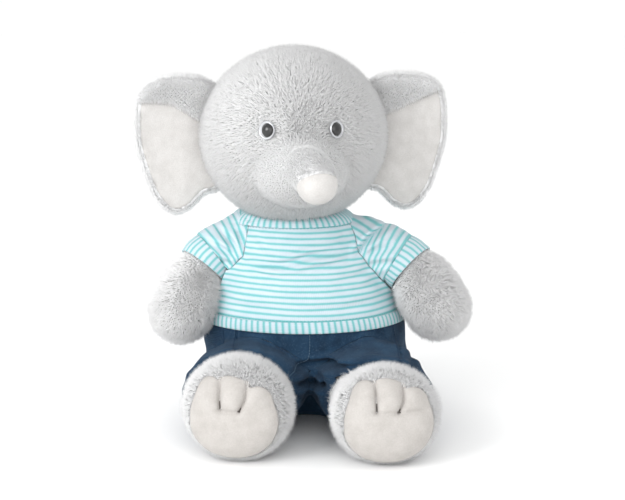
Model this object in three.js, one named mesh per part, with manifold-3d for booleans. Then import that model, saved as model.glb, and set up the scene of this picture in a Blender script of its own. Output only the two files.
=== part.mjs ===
// Seated stuffed elephant in a striped knit shirt and denim shorts.
// Millimetres, +Z up, the face looks along -Y. The origin is on the seat's flat underside.
// "left" and "right" are the toy's own sides, so left is +X.

import * as THREE from "three";
import { ConvexGeometry } from "three/addons/geometries/ConvexGeometry.js";
import { mergeVertices } from "three/addons/utils/BufferGeometryUtils.js";
import Module from "manifold-3d";

const wasm = await Module();
wasm.setup();

const DEGREE = Math.PI / 180;

// ---- Driving sizes ----

const SEWN_GAP = 0.3; // between pieces that are sewn or stuffed against each other
const SWING_GAP = 2; // round a part that swings
const PLUSH = 1.8; // wall of the plush skins
const CLOTH = 1.2; // wall of the knit and the denim
const BACKING = 0.6; // wall of the waistband's casing and the closure tapes
const FINE = 0.1; // how far a face of a visible piece may be simplified
const COARSE = 0.3; // the same for the pieces inside the body

// The clothed body: outline as [radius, height], squashed front to back and leaning to the right.
const BODY_OUTLINE = [
  [0, -1.5], [26, -1.5], [50, -1.5], [64, 4], [73, 18], [77.5, 38], [78.5, 60], [77, 76],
  [71, 94], [63, 112], [56, 128], [50, 142], [44, 152], [36, 158], [0, 161],
];
const BODY_DEPTH = 0.74; // depth as a share of the width
const BODY_LEAN = -0.097; // sideways shift for each millimetre of height
const HEM_BOTTOM = 71;
const BAND_HEIGHT = 12;
const COLLAR_BOTTOM = 149;
const COLLAR_TOP = 159.5;
const WAIST_BOTTOM = 77;
const WAIST_TOP = 88;
const SIDE_SEAM_Y = -36; // where the front of the shorts meets the back
const SHIRT_OPENING_X = -6; // line of the back opening

// Depths of the layers below the body's outline.
const UNDER_SHIRT = CLOTH + SEWN_GAP;
const UNDER_WAISTBAND = UNDER_SHIRT + BACKING + SEWN_GAP;
const BODY_SKIN = UNDER_WAISTBAND + 1.5;
const BODY_FILL = BODY_SKIN + PLUSH + 0.8;

const POUCH_CENTRE = [-1, 15, 15]; // the weighted pouch in the seat
const POUCH_RADII = [32, 17, 18];

const NECK = new THREE.Vector3(-15, -4, 160);
const NECK_RADIUS = 22;
const HEAD_CENTRE = new THREE.Vector3(-14, -10, 214);
const HEAD_RADII = [66, 58, 62];
const HEAD_TURN = 7 * DEGREE; // the face looks a little to the toy's left
const GUSSET_HALF = 20; // half the width of the panel over the crown

const MUZZLE_CENTRE = new THREE.Vector3(0, -46, -19);
const MUZZLE_RADII = [31, 32, 24];
const TRUNK_ROOT = new THREE.Vector3(0, -64, -15);
const TRUNK_PATH = [[0, 0, 0], [1.8, -14, 1.5], [4.2, -26, -2], [6.5, -36, -10]];
const TRUNK_OUTLINE = [
  [0, -14.5], [10.3, -10.2], [14.5, 0], [14.6, 14], [14.2, 28], [12.5, 38], [8, 43], [0, 45.5],
];
const TRUNK_TIP_START = 33;

const EYE_PLACE = [24, 11]; // sideways and up from the head's centre
const EYE_RADIUS = 7;

const EAR_AXIS = new THREE.Vector3(66, 10, 0);
const EAR_THICKNESS = 11;
const EAR_LINING = 3.6;
const EAR_WADDING = 3.2;
const EAR_RIM = 3.4; // plush showing round the lining
// Outline of the left ear as [sideways, up] from the head's centre.
const EAR_OUTLINE = [
  [54, 34], [68, 42], [86, 43.5], [101, 41], [112, 33], [115.5, 17], [115.5, -4], [111, -22],
  [105, -40], [97, -53], [87, -58.5], [76, -54], [66, -44], [54, -38],
];
const EAR_FOLD = [[50, 4], [70, 13], [94, 26], [120, 27]]; // lower edge of the folded top

const SHOULDERS = { right: new THREE.Vector3(-49, -2, 133), left: new THREE.Vector3(39, -2, 130) };
const ARM_PATHS = {
  right: [[0, 0, 0], [-19, -4, -7], [-34, -10, -20], [-46, -23, -43], [-56, -32, -64]],
  left: [[0, 0, 0], [20, -4, -7], [38, -10, -19], [51, -22, -38], [61, -30, -53]],
};
const ARM_OUTLINE = [
  [0, -18.5], [11.8, -14.2], [18.5, 0], [17.6, 18], [16, 34], [17, 45], [21.2, 64], [20.6, 80],
  [14, 91], [0, 96],
];
const SLEEVE_OUTLINE = [[0, -22], [15.6, -15.6], [22, 0], [20.6, 16], [19.6, 30], [19.6, 44], [0, 60]];
const SLEEVE_START = -16;
const CUFF_START = 28;
const CUFF_END = 40;

const HIPS = { right: new THREE.Vector3(-40, -32, 32), left: new THREE.Vector3(40, -32, 32) };
const LEG_PATH = [[0, 0, 0], [4, -22, 2], [9, -48, 5], [11.5, -72, 5]];
const LEG_OUTLINE = [[0, -29], [20, -21], [29, 0], [31, 20], [33, 38], [33, 56], [26, 72], [0, 82]];
const SHORTS_OUTLINE = [
  [0, -31], [22, -22], [31, 0], [34.5, 16], [37, 32], [38.8, 46], [39.5, 60], [0, 90],
];
const SHORTS_LEG_START_Y = 14; // behind the hip
const SHORTS_LEG_END_Y = -53; // the leg opening
const TORSO_SKIN_TOP = 154;
const TAPE_BOTTOM = 92;
const TAPE_TOP = 145;
const TAPE_WIDTH = 16;
const ELASTIC_DEPTH = 0.8;
// Each foot: centre from the hip, radii, lean and outward turn in degrees.
const FEET = {
  right: { centre: [-12, -77, 5.2], radii: [37, 24, 37.8], lean: -4, out: -9 },
  left: { centre: [11, -84, 3], radii: [35.5, 24, 35.6], lean: -12, out: 5 },
};
const FOOT_FLATNESS = 0.7; // below 1 gives a flatter sole than an ellipsoid's
const SOLE_WALL = 2.2;

const TAIL_ROOT = new THREE.Vector3(-3, 51, 31);
const TAIL_PATH = [[0, 0, 0], [0, 12, -3], [0, 20, -10], [0, 23, -17]];
const TAIL_OUTLINE = [[0, -5.5], [5.5, 0], [5, 10], [4.6, 22], [3.6, 28], [0, 30]];

// Ranges of movement in degrees.
const NOD = [-8, 8];
const ARM_SWING = [-10, 35];
const TRUNK_BEND = [-10, 10];
const LEG_RAISE = [0, 15];
const EAR_FLAP = [-10, 20];
const TAIL_WAG = [-20, 20];

// ---- Materials ----

const fabric = (color, roughness = 0.95) =>
  new THREE.MeshStandardMaterial({ color, roughness, metalness: 0 });
const GREY_PLUSH = fabric(0xc3c4c6);
const WHITE_VELOUR = fabric(0xf0ece8);
const STUFFING = fabric(0xf7f7f5);
const KNIT = fabric(0xa9dcdc);
const RIB = fabric(0x8fcfcd);
const DENIM = fabric(0x2d4f6e);
const TAPE = fabric(0xe8f4f4);
const ELASTIC = fabric(0xdedede, 0.8);
const CANVAS = fabric(0xe6dfd0);
const THREAD = fabric(0x6f6a66);
const EYE_GLOSS = fabric(0x101114, 0.08);
const WASHER = fabric(0xd9d9d9, 0.4);

// ---- Making solids ----

// A closed solid from a geometry, whichever way its faces point.
function solidOf(geometry) {
  const bare = new THREE.BufferGeometry();
  bare.setAttribute("position", geometry.attributes.position.clone());
  const count = geometry.attributes.position.count;
  const corners = geometry.index ? Array.from(geometry.index.array) : [...Array(count).keys()];
  bare.setIndex(corners);
  const merged = mergeVertices(bare, 1e-4);
  const faces = [];
  for (let at = 0; at < merged.index.count; at += 3) {
    const [a, b, c] = [merged.index.getX(at), merged.index.getX(at + 1), merged.index.getX(at + 2)];
    if (a !== b && b !== c && c !== a) faces.push([a, b, c]);
  }
  const build = (list) =>
    new wasm.Manifold(
      new wasm.Mesh({
        numProp: 3,
        vertProperties: new Float32Array(merged.attributes.position.array),
        triVerts: new Uint32Array(list.flat()),
      }),
    );
  const solid = build(faces);
  return solid.volume() > 0 ? solid : build(faces.map(([a, b, c]) => [a, c, b]));
}

// The named mesh of a solid's largest part; crumbs left by a cut are dropped.
function meshOf(name, solid, material, fineness = FINE) {
  const whole = solid
    .simplify(fineness)
    .decompose()
    .reduce((best, part) => (part.volume() > best.volume() ? part : best));
  const made = whole.getMesh();
  const geometry = new THREE.BufferGeometry();
  geometry.setAttribute("position", new THREE.BufferAttribute(made.vertProperties, 3));
  geometry.setIndex(new THREE.BufferAttribute(made.triVerts, 1));
  geometry.computeVertexNormals();
  const mesh = new THREE.Mesh(geometry, material);
  mesh.name = name;
  return mesh;
}

const cutBy = (solid, cutters) => cutters.reduce((rest, cutter) => rest.subtract(cutter), solid);

function block(low, high) {
  const size = high.map((value, axis) => value - low[axis]);
  const geometry = new THREE.BoxGeometry(...size);
  geometry.translate(...low.map((value, axis) => value + size[axis] / 2));
  return solidOf(geometry);
}

function ellipsoidShape(radii, inset = 0, sides = 24, rings = 14) {
  const geometry = new THREE.SphereGeometry(1, sides, rings);
  geometry.rotateX(Math.PI / 2);
  geometry.scale(...radii.map((radius) => radius - inset));
  return geometry;
}

function ball(centre, radius, sides = 12, rings = 8) {
  return solidOf(ellipsoidShape([radius, radius, radius], 0, sides, rings).translate(...centre));
}

// A rounded outline in the half-plane (radius, distance along the axis), from pole to pole.
// Layers of one outline share its corners, so they stay parallel.
class Outline {
  constructor(points, steps, floor = -Infinity) {
    const places = points.map(([radius, along]) => new THREE.Vector3(radius, along, 0));
    const curve = new THREE.CatmullRomCurve3(places, false, "centripetal");
    this.corners = Array.from({ length: steps + 1 }, (_, at) => ({
      place: curve.getPoint(at / steps),
      run: curve.getTangent(at / steps),
    }));
    this.floor = floor;
  }

  // A corner moved inwards by inset, never past the axis or below the floor.
  corner(at, inset) {
    const { place, run } = this.corners[at];
    const radius = place.x < 1e-6 ? 0 : Math.max(0, place.x - run.y * inset);
    return new THREE.Vector2(radius, Math.max(place.y + run.x * inset, this.floor + inset));
  }

  // The place in the list of corners, with its fraction, at a distance along the axis.
  position(along) {
    const next = this.corners.findIndex(({ place }) => place.y > along);
    const low = this.corners[next - 1].place.y;
    return next - 1 + (along - low) / (this.corners[next].place.y - low);
  }

  stretch(from, to, inset) {
    const stops = [from];
    for (let at = Math.floor(from) + 1; at < to; at += 1) stops.push(at);
    stops.push(to);
    return stops.map((stop) => {
      const low = Math.floor(stop);
      const high = Math.min(low + 1, this.corners.length - 1);
      return this.corner(low, inset).lerp(this.corner(high, inset), stop - low);
    });
  }

  // The whole outline, for a solid.
  whole(inset) {
    return this.stretch(0, this.corners.length - 1, inset);
  }

  // A closed wall between two depths, over part of the outline; null means a pole.
  wall(start, end, outer, inner) {
    const from = start === null ? 0 : this.position(start);
    const to = end === null ? this.corners.length - 1 : this.position(end);
    const outside = this.stretch(from, to, outer);
    const inside = this.stretch(from, to, inner).reverse();
    return [...outside, ...inside, outside[0].clone()];
  }
}

function turned(points, sides) {
  return new THREE.LatheGeometry(points, sides).rotateX(Math.PI / 2);
}

function reshape(geometry, change) {
  const position = geometry.attributes.position;
  const point = new THREE.Vector3();
  for (let at = 0; at < position.count; at += 1) {
    point.fromBufferAttribute(position, at);
    change(point);
    position.setXYZ(at, point.x, point.y, point.z);
  }
  return geometry;
}

// Bends a shape that was turned about Z so that its axis follows a path.
function bent(geometry, path, up) {
  const places = path.map((place) => new THREE.Vector3(...place));
  const curve = new THREE.CatmullRomCurve3(places, false, "centripetal");
  const length = curve.getLength();
  return reshape(geometry, (point) => {
    const share = THREE.MathUtils.clamp(point.z / length, 0, 1);
    const centre = curve.getPointAt(share);
    const run = curve.getTangentAt(share);
    const across = new THREE.Vector3().crossVectors(run, up).normalize();
    const upright = new THREE.Vector3().crossVectors(across, run);
    const beyond = point.z - share * length;
    const { x, y } = point;
    point.copy(centre).addScaledVector(across, x).addScaledVector(upright, y).addScaledVector(run, beyond);
  });
}

// The room a rounded shape takes while it turns about an axis through the origin, as one convex solid.
function swept(geometry, axis, [low, high], steps) {
  const points = [];
  for (let at = 0; at <= steps; at += 1) {
    const turn = new THREE.Matrix4().makeRotationAxis(axis, (low + ((high - low) * at) / steps) * DEGREE);
    const copy = geometry.clone().applyMatrix4(turn).attributes.position;
    for (let corner = 0; corner < copy.count; corner += 1) {
      points.push(new THREE.Vector3().fromBufferAttribute(copy, corner));
    }
  }
  return solidOf(new ConvexGeometry(points));
}

const moved = (solid, place) => solid.translate([place.x, place.y, place.z]);

const AXIS_X = new THREE.Vector3(1, 0, 0);
const AXIS_Y = new THREE.Vector3(0, 1, 0);
const AXIS_Z = new THREE.Vector3(0, 0, 1);
const FORWARD_UP = new THREE.Vector3(-1, 0, 0); // swings a limb forwards and up

const body = new THREE.Group();

// ---- Arms ----

const armOutline = new Outline(ARM_OUTLINE, 9);
const sleeveOutline = new Outline(SLEEVE_OUTLINE, 8);
const armSolid = (side, inset, sides = 10) =>
  solidOf(bent(turned(armOutline.whole(inset), sides), ARM_PATHS[side], AXIS_Y));
const sleeveWall = (side, start, end) =>
  solidOf(bent(turned(sleeveOutline.wall(start, end, 0, CLOTH), 12), ARM_PATHS[side], AXIS_Y));

function armPieces(side) {
  const group = new THREE.Group();
  group.position.copy(SHOULDERS[side]);
  const openEnd = ball([0, 0, 0], 15);
  const skin = armSolid(side, 0).subtract(armSolid(side, PLUSH)).subtract(openEnd);
  const inward = side === "left" ? -1 : 1;
  const mouth = solidOf(new THREE.SphereGeometry(17, 12, 8).translate(inward * 14, 0, 2));
  group.add(
    meshOf(`arm_skin_${side}`, skin.subtract(mouth), GREY_PLUSH),
    meshOf(`arm_stuffing_${side}`, armSolid(side, PLUSH + SEWN_GAP), STUFFING),
    meshOf(`sleeve_${side}`, sleeveWall(side, SLEEVE_START, CUFF_START - SEWN_GAP), KNIT),
    meshOf(`sleeve_cuff_${side}`, sleeveWall(side, CUFF_START, CUFF_END), RIB),
  );
  return group;
}

// The room an arm and its sleeve need while they swing.
function armRoom(side) {
  const parts = [
    [armOutline.stretch(armOutline.position(CUFF_START), armOutline.corners.length - 1, -SWING_GAP), 10],
    [sleeveOutline.whole(-SWING_GAP), 12],
  ];
  const rooms = parts.map(([points, sides]) =>
    swept(bent(turned(points, sides), ARM_PATHS[side], AXIS_Y), FORWARD_UP, ARM_SWING, 2),
  );
  return moved(rooms[0].add(rooms[1]), SHOULDERS[side]);
}

// ---- Legs ----

const legOutline = new Outline(LEG_OUTLINE, 7);
const shortsOutline = new Outline(SHORTS_OUTLINE, 7);
const mirrored = (path, side) => (side === "left" ? path : path.map(([x, y, z]) => [-x, y, z]));
const aboveFloor = (solid, height) =>
  solid.subtract(block([-120, -150, -80], [120, 80, height - HIPS.left.z]));
const legTube = (outline, side, inset, sides) =>
  bent(turned(outline.whole(inset), sides), mirrored(LEG_PATH, side), AXIS_Z);

function footMatrix(side) {
  const { centre, lean, out } = FEET[side];
  const turn = new THREE.Quaternion().setFromEuler(new THREE.Euler(lean * DEGREE, 0, out * DEGREE, "ZXY"));
  return new THREE.Matrix4().compose(new THREE.Vector3(...centre), turn, new THREE.Vector3(1, 1, 1));
}

const footSolid = (side, inset) => {
  const round = ellipsoidShape([1, 1, 1], 0, 14, 8);
  reshape(round, (point) => {
    point.y = Math.sign(point.y) * Math.abs(point.y) ** FOOT_FLATNESS;
  });
  const size = FEET[side].radii.map((radius) => radius - inset);
  return solidOf(round.scale(...size).applyMatrix4(footMatrix(side)));
};
const legSolid = (side, inset) =>
  aboveFloor(solidOf(legTube(legOutline, side, inset, 10)).add(footSolid(side, inset)), inset);
const shortsLegSolid = (side, inset) =>
  aboveFloor(solidOf(legTube(shortsOutline, side, inset, 12)), inset + SEWN_GAP);

// The sole's outline in the foot's own frame: a wide pad with three toes along the top.
function soleShape() {
  const shape = new THREE.Shape();
  shape.moveTo(-29, -6);
  shape.bezierCurveTo(-30, -24, -16, -32, 0, -32);
  shape.bezierCurveTo(16, -32, 30, -24, 29, -6);
  shape.bezierCurveTo(28, 4, 26, 10, 23, 15);
  shape.absarc(16.5, 15.5, 7, 0, Math.PI * 0.72, false);
  shape.absarc(0, 17, 8.6, Math.PI * 0.12, Math.PI * 0.88, false);
  shape.absarc(-16.5, 15.5, 7, Math.PI * 0.28, Math.PI, false);
  shape.bezierCurveTo(-26, 10, -28, 4, -29, -6);
  return shape;
}

function solePad(side) {
  const prism = new THREE.ExtrudeGeometry(soleShape(), { depth: 40, bevelEnabled: false, curveSegments: 3 });
  prism.rotateX(Math.PI / 2).applyMatrix4(footMatrix(side));
  const outside = aboveFloor(footSolid(side, -SOLE_WALL - SEWN_GAP), 0.6);
  return outside.subtract(footSolid(side, -SEWN_GAP)).intersect(solidOf(prism));
}

// A short tacking thread between two toes, just clear of the sole.
function toeThread(side, across) {
  const height = 13;
  const [wide, deep, high] = FEET[side].radii.map((radius) => radius + SOLE_WALL + 2 * SEWN_GAP);
  const rise = 1 - (across / wide) ** 2 - (height / high) ** 2;
  const front = deep * rise ** (FOOT_FLATNESS / 2) + 0.9;
  const thread = new THREE.CapsuleGeometry(0.7, 11, 2, 6).rotateX(Math.PI / 2 - 0.25);
  return solidOf(thread.translate(across, -front, height).applyMatrix4(footMatrix(side)));
}

function legPieces(side) {
  const group = new THREE.Group();
  group.position.copy(HIPS[side]);
  const hipEnd = block([-60, -9, -40], [60, 60, 60]);
  const skin = cutBy(legSolid(side, 0), [legSolid(side, PLUSH), hipEnd]);
  const beyondHem = block([-90, -120, -60], [90, SHORTS_LEG_END_Y, 70]);
  const behindHip = block([-90, SHORTS_LEG_START_Y, -60], [90, 60, 70]);
  const cloth = cutBy(shortsLegSolid(side, 0), [shortsLegSolid(side, CLOTH), beyondHem, behindHip]);
  group.add(
    meshOf(`leg_skin_${side}`, skin, GREY_PLUSH),
    meshOf(`leg_stuffing_${side}`, legSolid(side, PLUSH + SEWN_GAP), STUFFING),
    meshOf(`sole_pad_${side}`, solePad(side), WHITE_VELOUR),
    meshOf(`toe_thread_${side}_inner`, toeThread(side, side === "left" ? -8.4 : 8.4), THREAD),
    meshOf(`toe_thread_${side}_outer`, toeThread(side, side === "left" ? 8.4 : -8.4), THREAD),
    meshOf(`shorts_leg_${side}`, cloth, DENIM),
  );
  return group;
}

// The room a leg and its shorts leg need while they rise.
function legRoom(side) {
  const room = swept(legTube(shortsOutline, side, -SWING_GAP, 12), FORWARD_UP, LEG_RAISE, 1);
  return moved(room, HIPS[side]).add(ball(HIPS[side].toArray(), 31 + SWING_GAP));
}

// ---- Tail ----

const tailOutline = new Outline(TAIL_OUTLINE, 7);
const tailTube = (inset) => bent(turned(tailOutline.whole(inset), 10), TAIL_PATH, AXIS_X);
const tailBall = (inset) => ellipsoidShape([6.5, 6.5, 7.5], inset, 12, 8).translate(0, 23, -20);

function tailPieces() {
  const group = new THREE.Group();
  group.position.copy(TAIL_ROOT);
  const tube = solidOf(tailTube(0)).subtract(solidOf(tailBall(-SEWN_GAP)));
  group.add(meshOf("tail_cord", tube, GREY_PLUSH), meshOf("tail_tuft", solidOf(tailBall(0)), GREY_PLUSH));
  return group;
}

const tailRoom = moved(swept(tailTube(-SWING_GAP), AXIS_Z, TAIL_WAG, 2), TAIL_ROOT);

// ---- Head ----

const head = new THREE.Group();
head.position.copy(HEAD_CENTRE);
head.rotation.z = HEAD_TURN;
head.updateMatrix();

// The neck's centre as the head's own frame sees it.
const neckFromHead = NECK.clone().sub(HEAD_CENTRE).applyAxisAngle(AXIS_Z, -HEAD_TURN);
const headSolid = (inset) => solidOf(ellipsoidShape(HEAD_RADII, inset, 18, 10));
const neckSocket = ball(neckFromHead.toArray(), NECK_RADIUS + SWING_GAP);
const trunkOutline = new Outline(TRUNK_OUTLINE, 8);
const trunkSocket = moved(
  swept(bent(turned(trunkOutline.whole(-SWING_GAP), 12), TRUNK_PATH, AXIS_Z), AXIS_X, TRUNK_BEND, 1),
  TRUNK_ROOT,
);

function eyePose(sign) {
  const [across, up] = EYE_PLACE;
  const [wide, deep, high] = HEAD_RADII;
  const out = -deep * Math.sqrt(1 - (across / wide) ** 2 - (up / high) ** 2);
  const place = new THREE.Vector3(sign * across, out, up);
  const normal = new THREE.Vector3(place.x / wide ** 2, place.y / deep ** 2, place.z / high ** 2).normalize();
  const turn = new THREE.Quaternion().setFromUnitVectors(AXIS_Z, normal);
  return new THREE.Matrix4().compose(place, turn, new THREE.Vector3(1, 1, 1));
}

const lathed = (outline, sides, pose) =>
  solidOf(turned(outline.map((point) => new THREE.Vector2(...point)), sides).applyMatrix4(pose));
const cylinderAt = (radius, low, high, pose) =>
  lathed([[0, low], [radius, low], [radius, high], [0, high]], 14, pose);

const EYE_OUTLINE = [
  [0, -8], [1.5, -8], [1.5, 0.8], [EYE_RADIUS, 0.8], [EYE_RADIUS, 1.6], [6.2, 3.4], [4, 4.9], [0, 5.6],
];
const WASHER_OUTLINE = [[1.8, -5.4], [6, -5.4], [6, -4], [1.8, -4], [1.8, -5.4]];

function headPieces() {
  const poses = { left: eyePose(1), right: eyePose(-1) };
  const shanks = Object.values(poses).map((pose) => cylinderAt(1.9, -9, 3, pose));
  const pockets = Object.values(poses).map((pose) => cylinderAt(6.6, -9, 1, pose));
  const wall = cutBy(headSolid(0), [headSolid(PLUSH), neckSocket, trunkSocket, ...shanks]);
  const reach = 90;
  const crown = block([-GUSSET_HALF, -reach, -reach], [GUSSET_HALF, reach, reach]);
  const rightOf = block([-reach, -reach, -reach], [-GUSSET_HALF - SEWN_GAP, reach, reach]);
  const leftOf = block([GUSSET_HALF + SEWN_GAP, -reach, -reach], [reach, reach, reach]);
  const stuffing = cutBy(headSolid(PLUSH + SEWN_GAP), [neckSocket, trunkSocket, ...pockets]);

  const muzzle = (inset) =>
    solidOf(ellipsoidShape(MUZZLE_RADII, inset, 14, 8).translate(...MUZZLE_CENTRE.toArray()));
  const behind = [headSolid(-SEWN_GAP), trunkSocket];
  head.add(
    meshOf("head_gusset", wall.intersect(crown), GREY_PLUSH),
    meshOf("head_side_right", wall.intersect(rightOf), GREY_PLUSH),
    meshOf("head_side_left", wall.intersect(leftOf), GREY_PLUSH),
    meshOf("head_stuffing", stuffing, STUFFING),
    meshOf("muzzle_skin", cutBy(muzzle(0), [muzzle(PLUSH), ...behind]), GREY_PLUSH),
    meshOf("muzzle_stuffing", cutBy(muzzle(PLUSH + SEWN_GAP), behind), STUFFING),
  );
  for (const [side, pose] of Object.entries(poses)) {
    head.add(
      meshOf(`eye_${side}`, lathed(EYE_OUTLINE, 14, pose), EYE_GLOSS),
      meshOf(`eye_washer_${side}`, lathed(WASHER_OUTLINE, 12, pose), WASHER),
    );
  }
}

// ---- Trunk ----

const trunkWall = (start, end) =>
  solidOf(bent(turned(trunkOutline.wall(start, end, 0, PLUSH), 12), TRUNK_PATH, AXIS_Z));

function trunkPieces() {
  const group = new THREE.Group();
  group.position.copy(TRUNK_ROOT);
  const stuffing = solidOf(bent(turned(trunkOutline.whole(PLUSH + SEWN_GAP), 12), TRUNK_PATH, AXIS_Z));
  group.add(
    meshOf("trunk_skin", trunkWall(-9, TRUNK_TIP_START - SEWN_GAP), GREY_PLUSH),
    meshOf("trunk_tip", trunkWall(TRUNK_TIP_START, null), WHITE_VELOUR),
    meshOf("trunk_stuffing", stuffing, STUFFING),
  );
  return group;
}

// ---- Ears ----

// A slab of the ear between two depths, its edge moved inwards by inset.
function earSlab(sign, points, low, high, inset) {
  const middle = [86, -6];
  const smooth = new THREE.SplineCurve(points.map(([x, z]) => new THREE.Vector2(x, z))).getPoints(18);
  const drawn = smooth.map((point) => {
    const away = new THREE.Vector2(point.x - middle[0], point.y - middle[1]);
    away.setLength(Math.max(1, away.length() - inset)).add(new THREE.Vector2(...middle));
    return new THREE.Vector2(sign * away.x, away.y);
  });
  const slab = { depth: high - low, bevelEnabled: false };
  const geometry = new THREE.ExtrudeGeometry(new THREE.Shape(drawn), slab);
  geometry.rotateX(Math.PI / 2).translate(-sign * EAR_AXIS.x, high, 0);
  return solidOf(geometry);
}

function aboveFold(sign) {
  const points = [...EAR_FOLD, [130, 70], [40, 70]].map(([x, z]) => new THREE.Vector2(sign * x, z));
  const geometry = new THREE.ExtrudeGeometry(new THREE.Shape(points), { depth: 40, bevelEnabled: false });
  return solidOf(geometry.rotateX(Math.PI / 2).translate(-sign * EAR_AXIS.x, 20, 0));
}

function earPieces(side) {
  const sign = side === "left" ? 1 : -1;
  const group = new THREE.Group();
  group.position.set(sign * EAR_AXIS.x, EAR_AXIS.y, EAR_AXIS.z);
  const headBall = ellipsoidShape(HEAD_RADII, -SWING_GAP, 18, 10);
  headBall.translate(-sign * EAR_AXIS.x, -EAR_AXIS.y, 0);
  const range = sign > 0 ? EAR_FLAP : EAR_FLAP.map((angle) => -angle).reverse();
  const headRoom = swept(headBall, AXIS_Z, range, 2);
  const front = -EAR_THICKNESS / 2;
  const fold = aboveFold(sign);
  const pocketEnd = front + EAR_LINING + EAR_WADDING + 2 * SEWN_GAP;
  const pocket = earSlab(sign, EAR_OUTLINE, front - 5, pocketEnd, EAR_RIM);
  const outer = earSlab(sign, EAR_OUTLINE, front, -front, 0).subtract(pocket.subtract(fold));
  const inside = EAR_RIM + SEWN_GAP;
  const wadLow = front + EAR_LINING + SEWN_GAP;
  const lining = earSlab(sign, EAR_OUTLINE, front, front + EAR_LINING, inside);
  const wadding = earSlab(sign, EAR_OUTLINE, wadLow, wadLow + EAR_WADDING, inside);
  const foldEdge = fold.translate([0, 0, -SEWN_GAP]);
  group.add(
    meshOf(`ear_back_${side}`, outer.subtract(headRoom), GREY_PLUSH),
    meshOf(`ear_lining_${side}`, cutBy(lining, [foldEdge, headRoom]), WHITE_VELOUR),
    meshOf(`ear_wadding_${side}`, cutBy(wadding, [foldEdge, headRoom]), STUFFING),
  );
  return group;
}

// ---- Body, shirt and shorts ----

const bodyOutline = new Outline(BODY_OUTLINE, 14, -UNDER_SHIRT);
const shaped = (geometry) =>
  reshape(geometry, (point) => {
    point.x += BODY_LEAN * point.z;
    point.y *= BODY_DEPTH;
  });
const bodyWall = (start, end, outer, inner) =>
  solidOf(shaped(turned(bodyOutline.wall(start, end, outer, inner), 20)));

function bodyPieces() {
  const headRoom = swept(
    ellipsoidShape([HEAD_RADII[0], HEAD_RADII[1] + 1, HEAD_RADII[2]], -SWING_GAP - 0.5, 18, 10)
      .applyMatrix4(head.matrix)
      .translate(-NECK.x, -NECK.y, -NECK.z),
    AXIS_X,
    NOD,
    2,
  );
  const neckRoom = ball(NECK.toArray(), NECK_RADIUS + SWING_GAP);
  const limbRooms = [armRoom("left"), armRoom("right"), legRoom("left"), legRoom("right")];
  const rooms = [...limbRooms, tailRoom, neckRoom, moved(headRoom, NECK)];
  const reach = 200;
  const half = SEWN_GAP / 2;
  const inFront = (y) => block([-reach, -reach, -1], [reach, y - half, reach]);
  const behind = (y) => block([-reach, y + half, -1], [reach, reach, reach]);
  const leftOf = (x) => block([x + half, -reach, -1], [reach, reach, reach]);
  const rightOf = (x) => block([-reach, -reach, -1], [x - half, reach, reach]);

  const shirtBottom = HEM_BOTTOM + BAND_HEIGHT + SEWN_GAP;
  const shirt = cutBy(bodyWall(shirtBottom, COLLAR_BOTTOM - SEWN_GAP, 0, CLOTH), rooms);
  const shorts = cutBy(bodyWall(null, WAIST_BOTTOM - SEWN_GAP, UNDER_SHIRT, UNDER_SHIRT + CLOTH), rooms);
  const skin = cutBy(bodyWall(null, TORSO_SKIN_TOP, BODY_SKIN, BODY_SKIN + PLUSH), rooms);
  const pouch = solidOf(ellipsoidShape(POUCH_RADII, 0, 12, 8).translate(...POUCH_CENTRE));
  const pouchFloor = block([-reach, -reach, -reach], [reach, reach, BODY_FILL]);
  const pouchRoom = solidOf(ellipsoidShape(POUCH_RADII, -SEWN_GAP, 12, 8).translate(...POUCH_CENTRE));
  const stuffing = solidOf(shaped(turned(bodyOutline.whole(BODY_FILL), 20)));

  // The closure tapes lie under the back opening, one behind the other.
  const tapeStrip = block(
    [SHIRT_OPENING_X - TAPE_WIDTH / 2, 0, TAPE_BOTTOM],
    [SHIRT_OPENING_X + TAPE_WIDTH / 2, reach, TAPE_TOP],
  );
  const tape = (depth) =>
    bodyWall(TAPE_BOTTOM, TAPE_TOP, depth, depth + BACKING).intersect(tapeStrip);

  body.add(
    meshOf("torso_skin", skin, GREY_PLUSH, COARSE),
    meshOf("torso_stuffing", cutBy(stuffing, [...rooms, pouchRoom]), STUFFING, COARSE),
    meshOf("seat_pellet_pouch", cutBy(pouch, [pouchFloor, ...rooms]), CANVAS),
    meshOf("shirt_front", shirt.intersect(inFront(0)), KNIT),
    meshOf("shirt_back_left", shirt.intersect(behind(0)).intersect(leftOf(SHIRT_OPENING_X)), KNIT),
    meshOf("shirt_back_right", shirt.intersect(behind(0)).intersect(rightOf(SHIRT_OPENING_X)), KNIT),
    meshOf("closure_hook_tape", tape(UNDER_SHIRT), TAPE),
    meshOf("closure_loop_tape", tape(UNDER_SHIRT + BACKING + SEWN_GAP), TAPE),
    meshOf("shirt_collar", cutBy(bodyWall(COLLAR_BOTTOM, COLLAR_TOP, -1, CLOTH), rooms), RIB),
    meshOf("shirt_hem_band", cutBy(bodyWall(HEM_BOTTOM, HEM_BOTTOM + BAND_HEIGHT, -0.6, CLOTH), rooms), RIB),
    meshOf("shorts_front", shorts.intersect(inFront(SIDE_SEAM_Y)), DENIM),
    meshOf("shorts_back", shorts.intersect(behind(SIDE_SEAM_Y)), DENIM),
    meshOf(
      "shorts_waistband",
      cutBy(bodyWall(WAIST_BOTTOM, WAIST_TOP, UNDER_SHIRT, UNDER_SHIRT + BACKING), rooms),
      DENIM,
    ),
    meshOf(
      "waist_elastic",
      cutBy(bodyWall(WAIST_BOTTOM, WAIST_TOP, UNDER_WAISTBAND, UNDER_WAISTBAND + ELASTIC_DEPTH), rooms),
      ELASTIC,
    ),
  );
}

// ---- The whole toy ----

headPieces();
head.add(trunkPieces(), earPieces("left"), earPieces("right"));
bodyPieces();
const neck = meshOf("neck_stuffing", ball(NECK.toArray(), NECK_RADIUS), STUFFING);

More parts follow.
